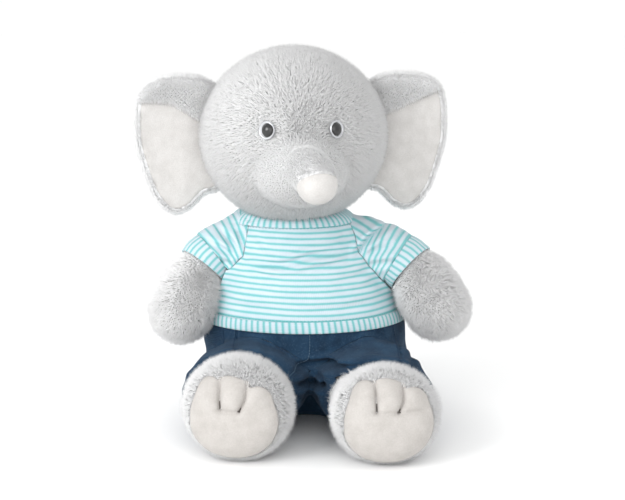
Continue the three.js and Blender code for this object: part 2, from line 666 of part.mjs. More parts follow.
const elephant = new THREE.Group();
elephant.add(body, neck, head, tailPieces());
for (const side of ["left", "right"]) {
  elephant.add(armPieces(side), legPieces(side));
}

export default elephant;
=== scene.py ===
import math

import bmesh
import bpy
import numpy as np
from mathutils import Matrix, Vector


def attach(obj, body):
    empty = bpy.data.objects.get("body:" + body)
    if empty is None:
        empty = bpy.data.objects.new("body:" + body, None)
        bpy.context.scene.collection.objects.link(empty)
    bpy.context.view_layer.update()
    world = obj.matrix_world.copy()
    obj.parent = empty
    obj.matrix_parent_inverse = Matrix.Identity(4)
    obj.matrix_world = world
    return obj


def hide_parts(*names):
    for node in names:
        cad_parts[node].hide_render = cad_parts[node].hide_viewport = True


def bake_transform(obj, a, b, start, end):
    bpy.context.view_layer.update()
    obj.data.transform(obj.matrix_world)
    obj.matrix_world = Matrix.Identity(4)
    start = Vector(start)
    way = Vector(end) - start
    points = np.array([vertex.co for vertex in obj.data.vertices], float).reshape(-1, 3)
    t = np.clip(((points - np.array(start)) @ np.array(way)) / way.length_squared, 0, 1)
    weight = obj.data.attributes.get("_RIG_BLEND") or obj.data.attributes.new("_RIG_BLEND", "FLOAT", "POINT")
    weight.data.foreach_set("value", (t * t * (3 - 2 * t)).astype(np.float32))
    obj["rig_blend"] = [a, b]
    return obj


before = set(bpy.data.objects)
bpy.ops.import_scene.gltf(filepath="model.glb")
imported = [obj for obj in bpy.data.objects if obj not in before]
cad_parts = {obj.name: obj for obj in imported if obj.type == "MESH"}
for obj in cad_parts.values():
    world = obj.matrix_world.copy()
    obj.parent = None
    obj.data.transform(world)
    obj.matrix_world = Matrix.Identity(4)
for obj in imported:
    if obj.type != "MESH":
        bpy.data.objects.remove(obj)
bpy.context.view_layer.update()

# Sizes below are millimetres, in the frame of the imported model. Left is +X and the face looks along -Y.
MM = 0.001
SIDES = {"left": 1, "right": -1}
COARSE = 4  # fine cells along a coarse one, when a surface is looked for

# ---- Lines and fields ----
# A field is a function from points to signed distances, below zero inside the soft shape.


def smooth_path(points, steps):
    """A rounded line through the points."""
    points = np.array(points, float)
    ends = np.vstack([2 * points[0] - points[1], points, 2 * points[-1] - points[-2]])
    spots = np.linspace(0, len(points) - 1, steps + 1)
    at = np.minimum(spots.astype(int), len(points) - 2)
    t = (spots - at)[:, None]
    a, b, c, d = (ends[at + k] for k in range(4))
    return 0.5 * (2 * b + (c - a) * t + (2 * a - 5 * b + 4 * c - d) * t**2 + (3 * b - a - 3 * c + d) * t**3)


def step_up(value, low, high):
    t = np.clip((value - low) / (high - low), 0, 1)
    return t * t * (3 - 2 * t)


def bell(value, width):
    """A smooth bump: 1 where the value is 0, and almost gone two widths away."""
    return np.exp(-((value / width) ** 2))


def unit(v):
    return v / np.linalg.norm(v)


def nearest(path, p):
    """Each point's distance from a path, its place along the path, and its offset from it."""
    gap, spot, offset = np.full(len(p), np.inf), np.zeros(len(p)), np.zeros_like(p)
    start = 0.0
    for a, b in zip(path[:-1], path[1:]):
        length = np.linalg.norm(b - a)
        run = (b - a) / length
        t = np.clip((p - a) @ run, 0, length)
        away = p - a - t[:, None] * run
        far = np.linalg.norm(away, axis=1)
        closer = far < gap
        gap[closer], spot[closer], offset[closer] = far[closer], (start + t)[closer], away[closer]
        start += length
    return gap, spot, offset


def tube(path, stations, radii):
    def field(p):
        gap, spot, _ = nearest(path, p)
        return gap - np.interp(spot, stations, radii)

    return field


def egg(centre, radii, turn=None):
    centre, radii = np.array(centre, float), np.array(radii, float)

    def field(p):
        q = p - centre if turn is None else (p - centre) @ turn
        near = np.linalg.norm(q / radii, axis=1)
        slope = np.linalg.norm(q / radii**2, axis=1)
        return near * (near - 1) / np.maximum(slope, 1e-9)

    return field


def joined(a, b, soft):
    """Two shapes flowing into each other over a fillet."""
    h = np.clip(0.5 + 0.5 * (b - a) / soft, 0, 1)
    return b + (a - b) * h - soft * h * (1 - h)


def common(a, b, soft):
    return -joined(-a, -b, soft)


def slope_of(field, p, reach=0.05):
    return np.stack([(field(p + e) - field(p - e)) / (2 * reach) for e in np.eye(3) * reach], 1)


def settle(p, field, rounds=3):
    """Moves points onto the field's surface."""
    for _ in range(rounds):
        slope = slope_of(field, p)
        p = p - (field(p) / np.maximum((slope**2).sum(1), 0.2))[:, None] * slope
    return p


def at_corners(values):
    """A grid's values at each of its cells' eight corners."""
    a, b, c = values.shape
    return [values[i : a - 1 + i, j : b - 1 + j, k : c - 1 + k] for i in (0, 1) for j in (0, 1) for k in (0, 1)]


def split_finer(values):
    return values.repeat(COARSE, 0).repeat(COARSE, 1).repeat(COARSE, 2)


def skin_of(field, low, high, step):
    """The closed surface of a field inside a box, as points and four-sided faces."""
    low = np.array(low, float)
    counts = (np.ceil((np.array(high, float) - low) / step / COARSE).astype(int) + 1) * COARSE
    rough = np.indices(counts // COARSE + 1).reshape(3, -1).T
    depth = field(rough * (COARSE * step) + low).reshape(counts // COARSE + 1)
    inside = split_finer(depth[:-1, :-1, :-1] < 0)
    close = np.argwhere(split_finer(np.minimum.reduce(at_corners(np.abs(depth))) < 1.6 * COARSE * step))
    inside[tuple(close.T)] = field(close * step + low) < 0
    full = sum(corner.astype(int) for corner in at_corners(inside))
    crossed = (full > 0) & (full < 8)
    number = np.full(crossed.shape, -1)
    number[crossed] = np.arange(crossed.sum())
    points = (np.argwhere(crossed) + 0.5) * step + low
    faces = []
    for axis in range(3):
        u, v = np.eye(3, dtype=int)[(axis + 1) % 3], np.eye(3, dtype=int)[(axis + 2) % 3]
        first = inside.take(range(counts[axis] - 1), axis)
        edges = np.argwhere(first != inside.take(range(1, counts[axis]), axis))
        edges = edges[((edges - u - v) >= 0).all(1) & (edges < np.array(crossed.shape)).all(1)]
        quads = np.stack([number[tuple(c.T)] for c in (edges - u - v, edges - v, edges, edges - u)], 1)
        out = first[tuple(edges.T)]
        quads[~out] = quads[~out][:, ::-1]
        faces.append(quads)
    faces = np.concatenate(faces)
    faces = faces[(faces >= 0).all(1)]
    for _ in range(2):
        points = settle(relaxed(points, faces), field, 2)
    return points, faces.tolist()


def relaxed(points, faces):
    """Points moved half way to the mean of their neighbours."""
    total, count = np.zeros_like(points), np.zeros(len(points))
    for k in range(4):
        for other in ((k + 1) % 4, (k + 3) % 4):
            np.add.at(total, faces[:, k], points[faces[:, other]])
            np.add.at(count, faces[:, k], 1)
    return 0.5 * points + 0.5 * total / np.maximum(count, 1)[:, None]


def trimmed(points, faces, keep, field=None):
    """The part of a surface where keep is below zero, cut along a clean line."""
    side = keep(points)
    points, cuts, kept = list(points), {}, []
    for face in faces:
        values = side[face]
        if (values <= 0).all():
            kept.append(face)
            continue
        if (values > 0).all():
            continue
        ring = []
        for here, there in zip(face, face[1:] + face[:1]):
            if side[here] <= 0:
                ring.append(here)
            if (side[here] <= 0) != (side[there] <= 0):
                key = (min(here, there), max(here, there))
                if key not in cuts:
                    t = side[key[0]] / (side[key[0]] - side[key[1]])
                    cuts[key] = len(points)
                    points.append(points[key[0]] * (1 - t) + points[key[1]] * t)
                ring.append(cuts[key])
        if len(ring) > 2:
            kept.append(ring)
    points = np.array(points)
    if field is not None and cuts:
        fresh = list(cuts.values())
        points[fresh] = settle(points[fresh], field, 1)
    used = sorted({corner for face in kept for corner in face})
    again = {old: new for new, old in enumerate(used)}
    return points[used], [[again[corner] for corner in face] for face in kept]


def every(*rules):
    """Keeps what all of these rules keep."""
    return lambda p: np.max([rule(p) for rule in rules], axis=0)


def grid(rows, sides, first=0, closed=True):
    """Four-sided faces between rows of points. A closed row is a ring."""
    faces = []
    for row in range(rows - 1):
        a, b = first + row * sides, first + (row + 1) * sides
        for k in range(sides if closed else sides - 1):
            after = (k + 1) % sides
            faces.append([a + k, a + after, b + after, b + k])
    return faces


# ---- Blender helpers ----


def linked(name, mesh):
    made = bpy.data.objects.new(name, mesh)
    bpy.context.scene.collection.objects.link(made)
    return made


def smooth_object(name, points, faces):
    mesh = bpy.data.meshes.new(name)
    mesh.from_pydata(points, [], faces)
    mesh.polygons.foreach_set("use_smooth", [True] * len(mesh.polygons))
    return linked(name, mesh)


def piece(name, points, faces, material):
    made = smooth_object(name, (np.array(points) * MM).tolist(), [list(face) for face in faces])
    made.data.materials.append(material)
    return made


def note(made, name, values):
    """Keeps a number or a vector at each point of a piece."""
    values = np.array(values, np.float32)
    kind, field = ("FLOAT", "value") if values.ndim == 1 else ("FLOAT_VECTOR", "vector")
    made.data.attributes.new(name, kind, "POINT").data.foreach_set(field, values.ravel())


def evaluated(made):
    """The piece with its modifiers made final."""
    graph = bpy.context.evaluated_depsgraph_get()
    mesh = bpy.data.meshes.new_from_object(made.evaluated_get(graph), depsgraph=graph)
    made.modifiers.clear()
    mesh.name = made.name
    made.data = mesh
    return made


def thick(made, depth):
    """Gives a surface a wall that grows inwards."""
    wall = made.modifiers.new("wall", "SOLIDIFY")
    wall.thickness, wall.offset, wall.use_rim = depth * MM, -1.0, True
    wall.use_even_offset = False
    return evaluated(made)


def outward(made):
    """Turns a closed piece's faces outwards."""
    work = bmesh.new()
    work.from_mesh(made.data)
    bmesh.ops.remove_doubles(work, verts=work.verts, dist=1e-6)
    bmesh.ops.recalc_face_normals(work, faces=work.faces)
    work.to_mesh(made.data)
    work.free()
    return made


def places(made):
    values = np.zeros(len(made.data.vertices) * 3)
    made.data.vertices.foreach_get("co", values)
    return values.reshape(-1, 3) / MM


def normals(made):
    values = np.zeros(len(made.data.vertices) * 3)
    made.data.vertices.foreach_get("normal", values)
    return values.reshape(-1, 3)


def moves(made, body):
    """Gives a piece its body: a name, or two names and the places between which it bends."""
    if isinstance(body, str):
        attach(made, body)
    else:
        first, second, start, end = body
        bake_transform(made, first, second, start=tuple(np.array(start) * MM), end=tuple(np.array(end) * MM))


def stuffed(made, body, nodes):
    moves(made, body)
    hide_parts(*nodes)


def clothing(name, points, faces, cloth, material, body, node, depth=1.1):
    """A stretched sheet that stands for a node. cloth is each point's place in its weave."""
    made = piece(name, points, faces, material)
    note(made, "cloth", np.c_[cloth, np.zeros(len(cloth))])
    moves(thick(made, depth), body)
    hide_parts(*node.split())


# ---- Materials ----


def feed(links, socket, value):
    """Links a socket to another one, or gives it a plain value."""
    if isinstance(value, bpy.types.NodeSocket):
        links.new(value, socket)
    elif value is not None:
        socket.default_value = value


class Finish:
    """A material with its shader, and short ways to add the nodes that feed it."""

    def __init__(self, name, colour, roughness, **sockets):
        self.material = bpy.data.materials.new(name)
        self.material.use_nodes = True
        self.nodes, self.links = self.material.node_tree.nodes, self.material.node_tree.links
        self.shader = self.nodes["Principled BSDF"]
        self.shader.inputs["Base Color"].default_value = (*colour, 1)
        self.shader.inputs["Roughness"].default_value = roughness
        self.shader.inputs["Specular IOR Level"].default_value = sockets.pop("specular", 0.25)
        for socket, value in sockets.items():
            self.shader.inputs[socket.replace("_", " ")].default_value = value
        self.material.diffuse_color = (*colour, 1)

    def node(self, kind, **settings):
        made = self.nodes.new(kind)
        for key, value in settings.items():
            setattr(made, key, value)
        return made

    def link(self, source, target):
        self.links.new(source, target)
        return source

    def place(self):
        return self.node("ShaderNodeTexCoord").outputs["Object"]

    def noise(self, size, detail=3.0, rough=0.55, where=None, warp=0.0):
        made = self.node("ShaderNodeTexNoise")
        made.inputs["Scale"].default_value = 1 / (size * MM)
        made.inputs["Detail"].default_value = detail
        made.inputs["Roughness"].default_value = rough
        made.inputs["Distortion"].default_value = warp
        self.link(where or self.place(), made.inputs["Vector"])
        return made.outputs["Fac"]

    def math(self, kind, a, b=0.0, c=0.0):
        made = self.node("ShaderNodeMath", operation=kind)
        for socket, value in zip(made.inputs, (a, b, c)):
            feed(self.links, socket, value)
        return made.outputs[0]

    def ramp(self, fac, stops):
        made = self.node("ShaderNodeValToRGB")
        marks = made.color_ramp.elements
        while len(marks) < len(stops):
            marks.new(1.0)
        for mark, (spot, colour) in zip(marks, stops):
            mark.position, mark.color = spot, (*colour, 1)
        self.link(fac, made.inputs["Fac"])
        return made.outputs["Color"]

    def mix(self, kind, fac, a, b):
        made = self.node("ShaderNodeMix", data_type="RGBA", blend_type=kind)
        for socket, value in zip((made.inputs[0], made.inputs[6], made.inputs[7]), (fac, a, b)):
            feed(self.links, socket, value)
        return made.outputs[2]

    def colour(self, source):
        self.link(source, self.shader.inputs["Base Color"])

    def bump(self, height, distance, strength=1.0, after=None):
        made = self.node("ShaderNodeBump")
        made.inputs["Strength"].default_value = strength
        made.inputs["Distance"].default_value = distance * MM
        self.link(height, made.inputs["Height"])
        if after is not None:
            self.link(after, made.inputs["Normal"])
        self.link(made.outputs["Normal"], self.shader.inputs["Normal"])
        return made.outputs["Normal"]


def plush_backing(name, dark, light):
    made = Finish(name, light, 0.95, specular=0.1, Sheen_Weight=0.25, Sheen_Roughness=0.5)
    made.colour(made.ramp(made.noise(3.2, 4, 0.65, warp=0.6), [(0.3, dark), (0.62, light)]))
    made.bump(made.noise(1.6, 4, 0.7), 1.2)
    return made.material


def fur_shades(name, shades):
    sheen = dict(specular=0.06, Sheen_Weight=0.2, Sheen_Roughness=0.5)
    return [Finish(f"{name}_{k}", shade, 0.9, **sheen).material for k, shade in enumerate(shades)]


PLUSH_BACKING = plush_backing("grey_plush_backing", (0.78, 0.782, 0.788), (0.87, 0.872, 0.876))
HEAD_FUR = fur_shades("head_fur", [(0.86, 0.86, 0.861), (0.89, 0.89, 0.891), (0.8, 0.8, 0.803)])
# Painted light: a lighter copy of the head fur for the arms, ears and tail, which the lamps leave darker.
LIMB_FUR_PAINTED_LIGHT = fur_shades("limb_fur", [(0.93, 0.93, 0.931), (0.96, 0.96, 0.961), (0.87, 0.87, 0.873)])
# Painted shade: a darker copy of the head fur for the muzzle and trunk, which face the key light.
MUZZLE_FUR_PAINTED_SHADE = fur_shades("muzzle_fur", [(0.83, 0.832, 0.834), (0.86, 0.861, 0.863), (0.79, 0.792, 0.795)])


def velour(name, dark, light):
    made = Finish(name, light, 0.9, specular=0.1, Sheen_Weight=0.2, Sheen_Roughness=0.4)
    cloud = made.ramp(made.noise(9, 3), [(0.35, dark), (0.65, light)])
    nap = made.ramp(made.noise(0.9, 3, 0.7), [(0.35, (0.86, 0.85, 0.845)), (0.65, (1, 1, 1))])
    made.colour(made.mix("MULTIPLY", 0.7, cloud, nap))
    made.bump(made.noise(0.8, 3, 0.7), 0.35, 0.8)
    return made.material


def striped_knit(name):
    """Teal lines on a whitish knit, where the cloth's second coordinate is a multiple of the pitch."""
    made = Finish(name, (0.72, 0.86, 0.88), 0.85, specular=0.15, Sheen_Weight=0.2)
    cloth = made.node("ShaderNodeAttribute", attribute_name="cloth").outputs["Vector"]
    parts = made.node("ShaderNodeSeparateXYZ")
    made.link(cloth, parts.inputs[0])
    ragged = made.math("MULTIPLY_ADD", made.noise(1.3, 2), 0.5, -0.25)
    line = made.math("PINGPONG", made.math("ADD", parts.outputs["Y"], ragged), STRIPE_PITCH / 2)
    share = made.math("DIVIDE", line, STRIPE_PITCH / 2)
    tone = made.ramp(share, [
        (0.0, (0.17, 0.47, 0.48)), (0.2, (0.2, 0.5, 0.515)), (0.44, (0.42, 0.6, 0.63)),
        (0.64, (0.56, 0.63, 0.68)), (1.0, (0.59, 0.65, 0.7)),
    ])
    wear = made.ramp(made.noise(14, 3), [(0.3, (0.9, 0.95, 0.96)), (0.7, (1, 1, 1))])
    # Painted shade: the knit darker along the grooves between its columns, where the bump sinks.
    columns = made.math("PINGPONG", parts.outputs["X"], 0.6)
    shade = made.ramp(made.math("DIVIDE", columns, 0.6), [(0.0, (0.9, 0.93, 0.94)), (0.6, (1, 1, 1))])
    made.colour(made.mix("MULTIPLY", 0.8, made.mix("MULTIPLY", 1.0, tone, wear), shade))
    rows = made.math("PINGPONG", parts.outputs["Y"], 0.45)
    weave = made.math("ADD", made.math("MULTIPLY", columns, 0.6), made.math("MULTIPLY", rows, 0.5))
    made.bump(made.math("ADD", weave, made.math("MULTIPLY", made.noise(0.7, 2), 0.35)), 0.35, 0.7)
    return made.material


def denim():
    sheen = dict(specular=0.1, Sheen_Weight=0.05, Sheen_Roughness=0.6)
    made = Finish("blue_denim", (0.03, 0.075, 0.145), 0.88, **sheen)
    twill = made.node("ShaderNodeTexWave", wave_type="BANDS", bands_direction="DIAGONAL", wave_profile="SIN")
    twill.inputs["Scale"].default_value = 1 / (1.9 * MM)
    twill.inputs["Distortion"].default_value = 1.2
    twill.inputs["Detail"].default_value = 2
    twill.inputs["Detail Scale"].default_value = 1.5
    made.link(made.place(), twill.inputs["Vector"])
    base = made.ramp(twill.outputs["Fac"], [(0.25, (0.012, 0.038, 0.08)), (0.8, (0.018, 0.052, 0.1))])
    cloud = made.ramp(made.noise(16, 4, 0.6), [(0.32, (0.62, 0.68, 0.72)), (0.7, (1.3, 1.26, 1.22))])
    flecks = made.ramp(made.noise(1.1, 3, 0.75), [(0.55, (0, 0, 0)), (0.74, (0.1, 0.14, 0.18))])
    made.colour(made.mix("ADD", 0.55, made.mix("MULTIPLY", 1.0, base, cloud), flecks))
    height = made.math("ADD", twill.outputs["Fac"], made.math("MULTIPLY", made.noise(0.6, 3, 0.7), 0.8))
    made.bump(height, 0.3, 0.8)
    return made.material


def woven(name, colour, size=0.8):
    made = Finish(name, colour, 0.85, specular=0.15)
    dark = tuple(0.72 * c for c in colour)
    made.colour(made.ramp(made.noise(size, 3, 0.7), [(0.35, dark), (0.65, colour)]))
    made.bump(made.noise(size, 3, 0.7), 0.3)
    return made.material


STRIPE_PITCH = 4.5
WHITE_VELOUR = velour("white_velour", (0.56, 0.547, 0.532), (0.615, 0.602, 0.588))
# Painted shade: a darker, slightly warmer copy of the white velour for the soles, which face the lamps.
SOLE_VELOUR_PAINTED_SHADE = velour("sole_velour", (0.475, 0.453, 0.43), (0.525, 0.503, 0.48))
KNIT = striped_knit("striped_knit")
DENIM = denim()
TEAL_THREAD = woven("teal_thread", (0.1, 0.42, 0.42), 0.4)
NAVY_THREAD = woven("navy_thread", (0.012, 0.03, 0.065), 0.4)
PALE_THREAD = woven("worn_blue_thread", (0.16, 0.25, 0.34), 0.4)
TOE_THREAD = woven("toe_thread", (0.11, 0.095, 0.085), 0.4)
TAPE = woven("closure_tape", (0.78, 0.88, 0.9))
ELASTIC = woven("elastic", (0.72, 0.72, 0.72))
EYE_BLACK = Finish("eye_black", (0.008, 0.008, 0.009), 0.2, specular=0.7).material
EYE_RING = Finish("eye_ring", (0.52, 0.53, 0.55), 0.25, specular=0.5, Metallic=0.5, Coat_Weight=0.3).material
WASHER = Finish("washer_plastic", (0.72, 0.72, 0.7), 0.45).material

# ---- Fur ----


class Tree:
    """A Geometry Nodes tree with named inputs, and a short way to add its nodes."""

    def __init__(self, name, inputs):
        self.tree = bpy.data.node_groups.new(name, "GeometryNodeTree")
        self.sockets = {}
        for label, kind, value in [("Geometry", "Geometry", None), *inputs]:
            socket = self.tree.interface.new_socket(name=label, in_out="INPUT", socket_type=f"NodeSocket{kind}")
            if value is not None:
                socket.default_value = value
            self.sockets[label] = socket.identifier
        self.tree.interface.new_socket(name="Geometry", in_out="OUTPUT", socket_type="NodeSocketGeometry")
        self.given = self.add("NodeGroupInput").outputs

    def add(self, kind, feeds=None, **settings):
        made = self.tree.nodes.new(kind)
        for key, value in settings.items():
            setattr(made, key, value)
        for key, value in (feeds or {}).items():
            feed(self.tree.links, made.inputs[key], value)
        return made

    def repeated(self, shape, points, turn, scale, material):
        """Copies of a shape on points, made real and given their material."""
        source = self.add("GeometryNodeObjectInfo", {"Object": shape}).outputs["Geometry"]
        copies = self.add("GeometryNodeInstanceOnPoints", {
            "Points": points, "Instance": source, "Rotation": turn,
            "Scale": self.add("ShaderNodeCombineXYZ", dict(enumerate(scale))).outputs[0],
        })
        real = self.add("GeometryNodeRealizeInstances", {"Geometry": copies.outputs[0]})
        dyed = self.add("GeometryNodeSetMaterial", {"Geometry": real.outputs[0], "Material": material})
        return dyed.outputs[0]


def strand():
    """One closed fur strand a unit long, three-sided, pointed and leaning to one side."""
    corners = [2 * math.pi * k / 3 for k in range(3)]
    points = [(0.5 * math.cos(angle), 0.5 * math.sin(angle), 0) for angle in corners] + [(0.42, 0, 1.0)]
    return smooth_object("strand", points, [(2, 1, 0), (0, 1, 3), (1, 2, 3), (2, 0, 3)])


def fur_tree(strand_shape):
    """Fur over a skin, in loose tufts of three shades. The skin's comb leans it and its nap shortens it."""
    fur = Tree("fur", [
        ("Density", "Float", 1e6), ("Length", "Float", 0.006), ("Width", "Float", 0.0005),
        ("Tuft", "Float", 0.8), ("Tuft Size", "Float", 0.005), ("Seed", "Int", 1),
        *((f"Shade {k}", "Material", None) for k in (1, 2, 3)),
    ])
    add, given = fur.add, fur.given

    def vector(kind, a, b=None, scale=None):
        return add("ShaderNodeVectorMath", {0: a, 1: b, 3: scale}, operation=kind).outputs[0]

    def number(kind, a, b):
        return add("ShaderNodeMath", {0: a, 1: b}, operation=kind).outputs[0]

    def kept(name, kind):
        return add("GeometryNodeInputNamedAttribute", {"Name": name}, data_type=kind).outputs["Attribute"]

    def random(kind, low, high, seed):
        made = add("FunctionNodeRandomValue", data_type=kind)
        inputs = [s for s in made.inputs if s.enabled]
        inputs[0].default_value, inputs[1].default_value = low, high
        inputs[-1].default_value = seed
        return next(s for s in made.outputs if s.enabled)

    nap, comb = kept("nap", "FLOAT"), kept("comb", "FLOAT_VECTOR")
    tuft = add("ShaderNodeTexNoise", {
        "Scale": number("DIVIDE", 1.0, given["Tuft Size"]), "Detail": 1.5,
        "Vector": add("GeometryNodeInputPosition").outputs[0],
    })
    sway = vector("SCALE", vector("SUBTRACT", tuft.outputs["Color"], (0.5, 0.5, 0.5)), None, given["Tuft"])
    together = add("GeometryNodeJoinGeometry")
    for k in range(3):
        spread = add("GeometryNodeDistributePointsOnFaces", {
            "Mesh": given["Geometry"], "Selection": number("GREATER_THAN", nap, 0.05),
            "Density": number("DIVIDE", given["Density"], 3.0), "Seed": number("ADD", given["Seed"], 17.0 * k),
        })
        loose = vector("SCALE", random("FLOAT_VECTOR", (-1, -1, -1), (1, 1, 1), 5 + k), None, 0.24)
        lay = vector("ADD", vector("ADD", comb, sway), loose)
        up = vector("NORMALIZE", vector("ADD", spread.outputs["Normal"], lay))
        turn = add("FunctionNodeAxesToRotation", {"Primary Axis": up, "Secondary Axis": lay},
                   primary_axis="Z", secondary_axis="X")
        full_length = number("MULTIPLY", given["Length"], nap)
        length = number("MULTIPLY", full_length, random("FLOAT", 0.65, 1.15, 11 + k))
        width = number("MULTIPLY", given["Width"], random("FLOAT", 0.7, 1.25, 23 + k))
        coat = fur.repeated(strand_shape, spread.outputs["Points"], turn.outputs[0], (width, width, length),
                            given[f"Shade {k + 1}"])
        feed(fur.tree.links, together.inputs[0], coat)
    add("NodeGroupOutput", {0: together.outputs[0]})
    return fur.tree, fur.sockets


strand_shape = strand()
FUR, FUR_SOCKETS = fur_tree(strand_shape)
FLOOR_CLEARANCE = 0.3


def furred(name, points, faces, nap, comb, shades, length, density=2.7, width=0.44, tuft=0.8, size=4.5, seed=1):
    """The fur that grows on a skin, as a plain mesh of its own."""
    made = piece(name, points, faces, shades[0])
    note(made, "nap", nap)
    note(made, "comb", comb)
    grow = made.modifiers.new("fur", "NODES")
    grow.node_group = FUR
    values = {
        "Density": density * 1e6, "Length": length * MM, "Width": width * MM, "Tuft": tuft,
        "Tuft Size": size * MM, "Seed": seed, "Shade 1": shades[0], "Shade 2": shades[1], "Shade 3": shades[2],
    }
    for key, value in values.items():
        grow[FUR_SOCKETS[key]] = value
    evaluated(made)
    for kept in [a.name for a in made.data.attributes if a.name in ("nap", "comb")]:
        made.data.attributes.remove(made.data.attributes[kept])
    spots = places(made)
    spots[:, 2] = np.maximum(spots[:, 2], FLOOR_CLEARANCE)
    made.data.vertices.foreach_set("co", (spots * MM).ravel())
    made.data.update()
    return made


def lying(p, field, pull):
    """A direction field laid flat along the skin."""
    slope = slope_of(field, p)
    out = slope / np.maximum(np.linalg.norm(slope, axis=1), 1e-9)[:, None]
    return pull - (pull * out).sum(1)[:, None] * out


# ---- Head ----

HEAD_CENTRE = np.array([-14.0, -10.0, 214.0])
HEAD_RADII = np.array([66.0, 58.0, 62.0])
TURN = math.radians(7)
HEAD_TURN = np.array([[math.cos(TURN), -math.sin(TURN), 0], [math.sin(TURN), math.cos(TURN), 0], [0, 0, 1]])
MUZZLE_CENTRE = np.array([0.0, -46.0, -19.0])
TRUNK_ROOT = np.array([0.0, -64.0, -15.0])


def from_head(q):
    """A point given from the head's centre, in the head's own frame."""
    return np.array(q, float) @ HEAD_TURN.T + HEAD_CENTRE


def to_head(p):
    return (p - HEAD_CENTRE) @ HEAD_TURN


head_ball = egg(HEAD_CENTRE, HEAD_RADII, HEAD_TURN)
muzzle_ball = egg(from_head(MUZZLE_CENTRE), [33, 33, 25.5], HEAD_TURN)
TRUNK_LINE = np.array([[0, 12, -4], [0, 0, 0], [1.8, -14, 1.5], [4.2, -24, -1.5], [5.6, -31, -6]])
trunk_path = smooth_path(from_head(TRUNK_ROOT + TRUNK_LINE), 16)
trunk_field = tube(trunk_path, [0, 12, 26, 37, 46], [15, 14.8, 14.6, 14.2, 13.9])
TIP_EDGE = np.array([4.1, -41.9, 2.7])
TIP_FACING = np.array([0.1, -0.62, -0.78])


def beyond_tip_seam(p):
    return (p - from_head(TRUNK_ROOT + TIP_EDGE)) @ (HEAD_TURN @ TIP_FACING)


EYE_PLACE = (24.0, 11.0)
CROWN_HALF = 24.0  # half the width of the panel over the crown


def eye_place(sign):
    across, up = EYE_PLACE
    wide, deep, high = HEAD_RADII
    spot = np.array([sign * across, -deep * math.sqrt(1 - (across / wide) ** 2 - (up / high) ** 2), up])
    out = spot / HEAD_RADII**2
    return from_head(spot), HEAD_TURN @ (out / np.linalg.norm(out))


def head_field(p):
    skull = head_ball(p) + 0.6
    face = joined(skull, muzzle_ball(p) + 0.3, 4.5)
    for sign in (1, -1):
        spot, out = eye_place(sign)
        face = face + 2.6 * bell(np.linalg.norm(p - spot - 1.5 * out, axis=1), 8.5)
    return face


def make_head():
    low, high = HEAD_CENTRE - [72, 88, 68], HEAD_CENTRE + [72, 64, 68]
    points, faces = skin_of(head_field, low, high, 2.4)
    skin = piece("head_skin", points, faces, PLUSH_BACKING)
    local = to_head(points)
    on_muzzle = step_up(muzzle_ball(points) - head_ball(points), 5, -7)
    away = local - (MUZZLE_CENTRE + [4, -20, 2])
    away /= np.linalg.norm(away, axis=1)[:, None]
    pull = (0.75 * away + np.array([0, 0.1, -0.5])) @ HEAD_TURN.T
    comb = lying(points, head_field, pull) * (1 - 0.15 * on_muzzle)[:, None]
    across = HEAD_TURN[:, 0]
    spots = {sign: eye_place(sign)[0] for sign in (1, -1)}
    eyes_gap = np.min([np.linalg.norm(points - spot, axis=1) for spot in spots.values()], axis=0)
    ring_gap = np.min([
        np.linalg.norm(points - spot - sign * 1.6 * across, axis=1) for sign, spot in spots.items()], axis=0)
    nap = (1 - 0.56 * on_muzzle) * np.clip(eyes_gap / 15, 0.34, 1)
    for sign, spot in spots.items():
        near_eye = step_up(-np.linalg.norm(points - spot, axis=1), -11, -7)
        toward = near_eye * step_up(sign * (spot - points) @ across, 2, 6)
        comb = comb * (1 - toward)[:, None] + toward[:, None] * (across * sign * 1.3)
        nap = nap + 0.55 * toward
    nap[(ring_gap < 5.5) | (tube(trunk_path, [0], [13])(points) < 0)] = 0
    stands_for = [
        "head_gusset", "head_side_left", "head_side_right", "head_stuffing", "muzzle_skin", "muzzle_stuffing"]
    stuffed(skin, "head", stands_for)
    centres = np.array([local[face].mean(0) for face in faces])
    muzzle_face = np.array([on_muzzle[face].mean() for face in faces]) > 0.5
    panels = {
        "crown_fur": (~muzzle_face & (np.abs(centres[:, 0]) <= CROWN_HALF), HEAD_FUR, 6.6),
        "head_left_fur": (~muzzle_face & (centres[:, 0] > CROWN_HALF), HEAD_FUR, 6.4),
        "head_right_fur": (~muzzle_face & (centres[:, 0] < -CROWN_HALF), HEAD_FUR, 6.4),
        "muzzle_fur": (muzzle_face, MUZZLE_FUR_PAINTED_SHADE, 6.4),
    }
    for seed, (name, (chosen, shades, length)) in enumerate(panels.items()):
        part = [face for face, use in zip(faces, chosen) if use]
        fur = furred(name, points, part, nap, comb, shades, length, tuft=0.6, seed=seed + 1)
        moves(fur, "head")


def make_trunk():
    points, faces = skin_of(trunk_field, trunk_path.min(0) - 18, trunk_path.max(0) + 18, 1.6)
    bend = ("head", "trunk", from_head([0, -62, -15]), from_head([2.5, -84, -15]))
    grey, grey_faces = trimmed(points, faces, lambda p: beyond_tip_seam(p) + 0.1)
    white, white_faces = trimmed(points, faces, lambda p: 0.1 - beyond_tip_seam(p))
    skin = thick(piece("trunk_skin_plush", grey, grey_faces, PLUSH_BACKING), 1.6)
    pull = np.tile(HEAD_TURN @ np.array([0.05, -0.7, -0.1]), (len(grey), 1))
    comb = lying(grey, trunk_field, pull)
    nap = np.where(to_head(grey)[:, 1] < -66, 0.44, 0.0) * np.clip(-beyond_tip_seam(grey) / 4, 0.5, 1)
    fur = furred("trunk_fur", grey, grey_faces, nap, comb, MUZZLE_FUR_PAINTED_SHADE, 6.4, width=0.4, tuft=0.5, seed=8)
    white = white + 0.4 * slope_of(trunk_field, white)
    tip = thick(piece("trunk_tip_velour", white, white_faces, WHITE_VELOUR), 1.8)
    stuffed(skin, bend, ["trunk_skin", "trunk_stuffing"])
    moves(fur, bend)
    stuffed(tip, bend, ["trunk_tip"])


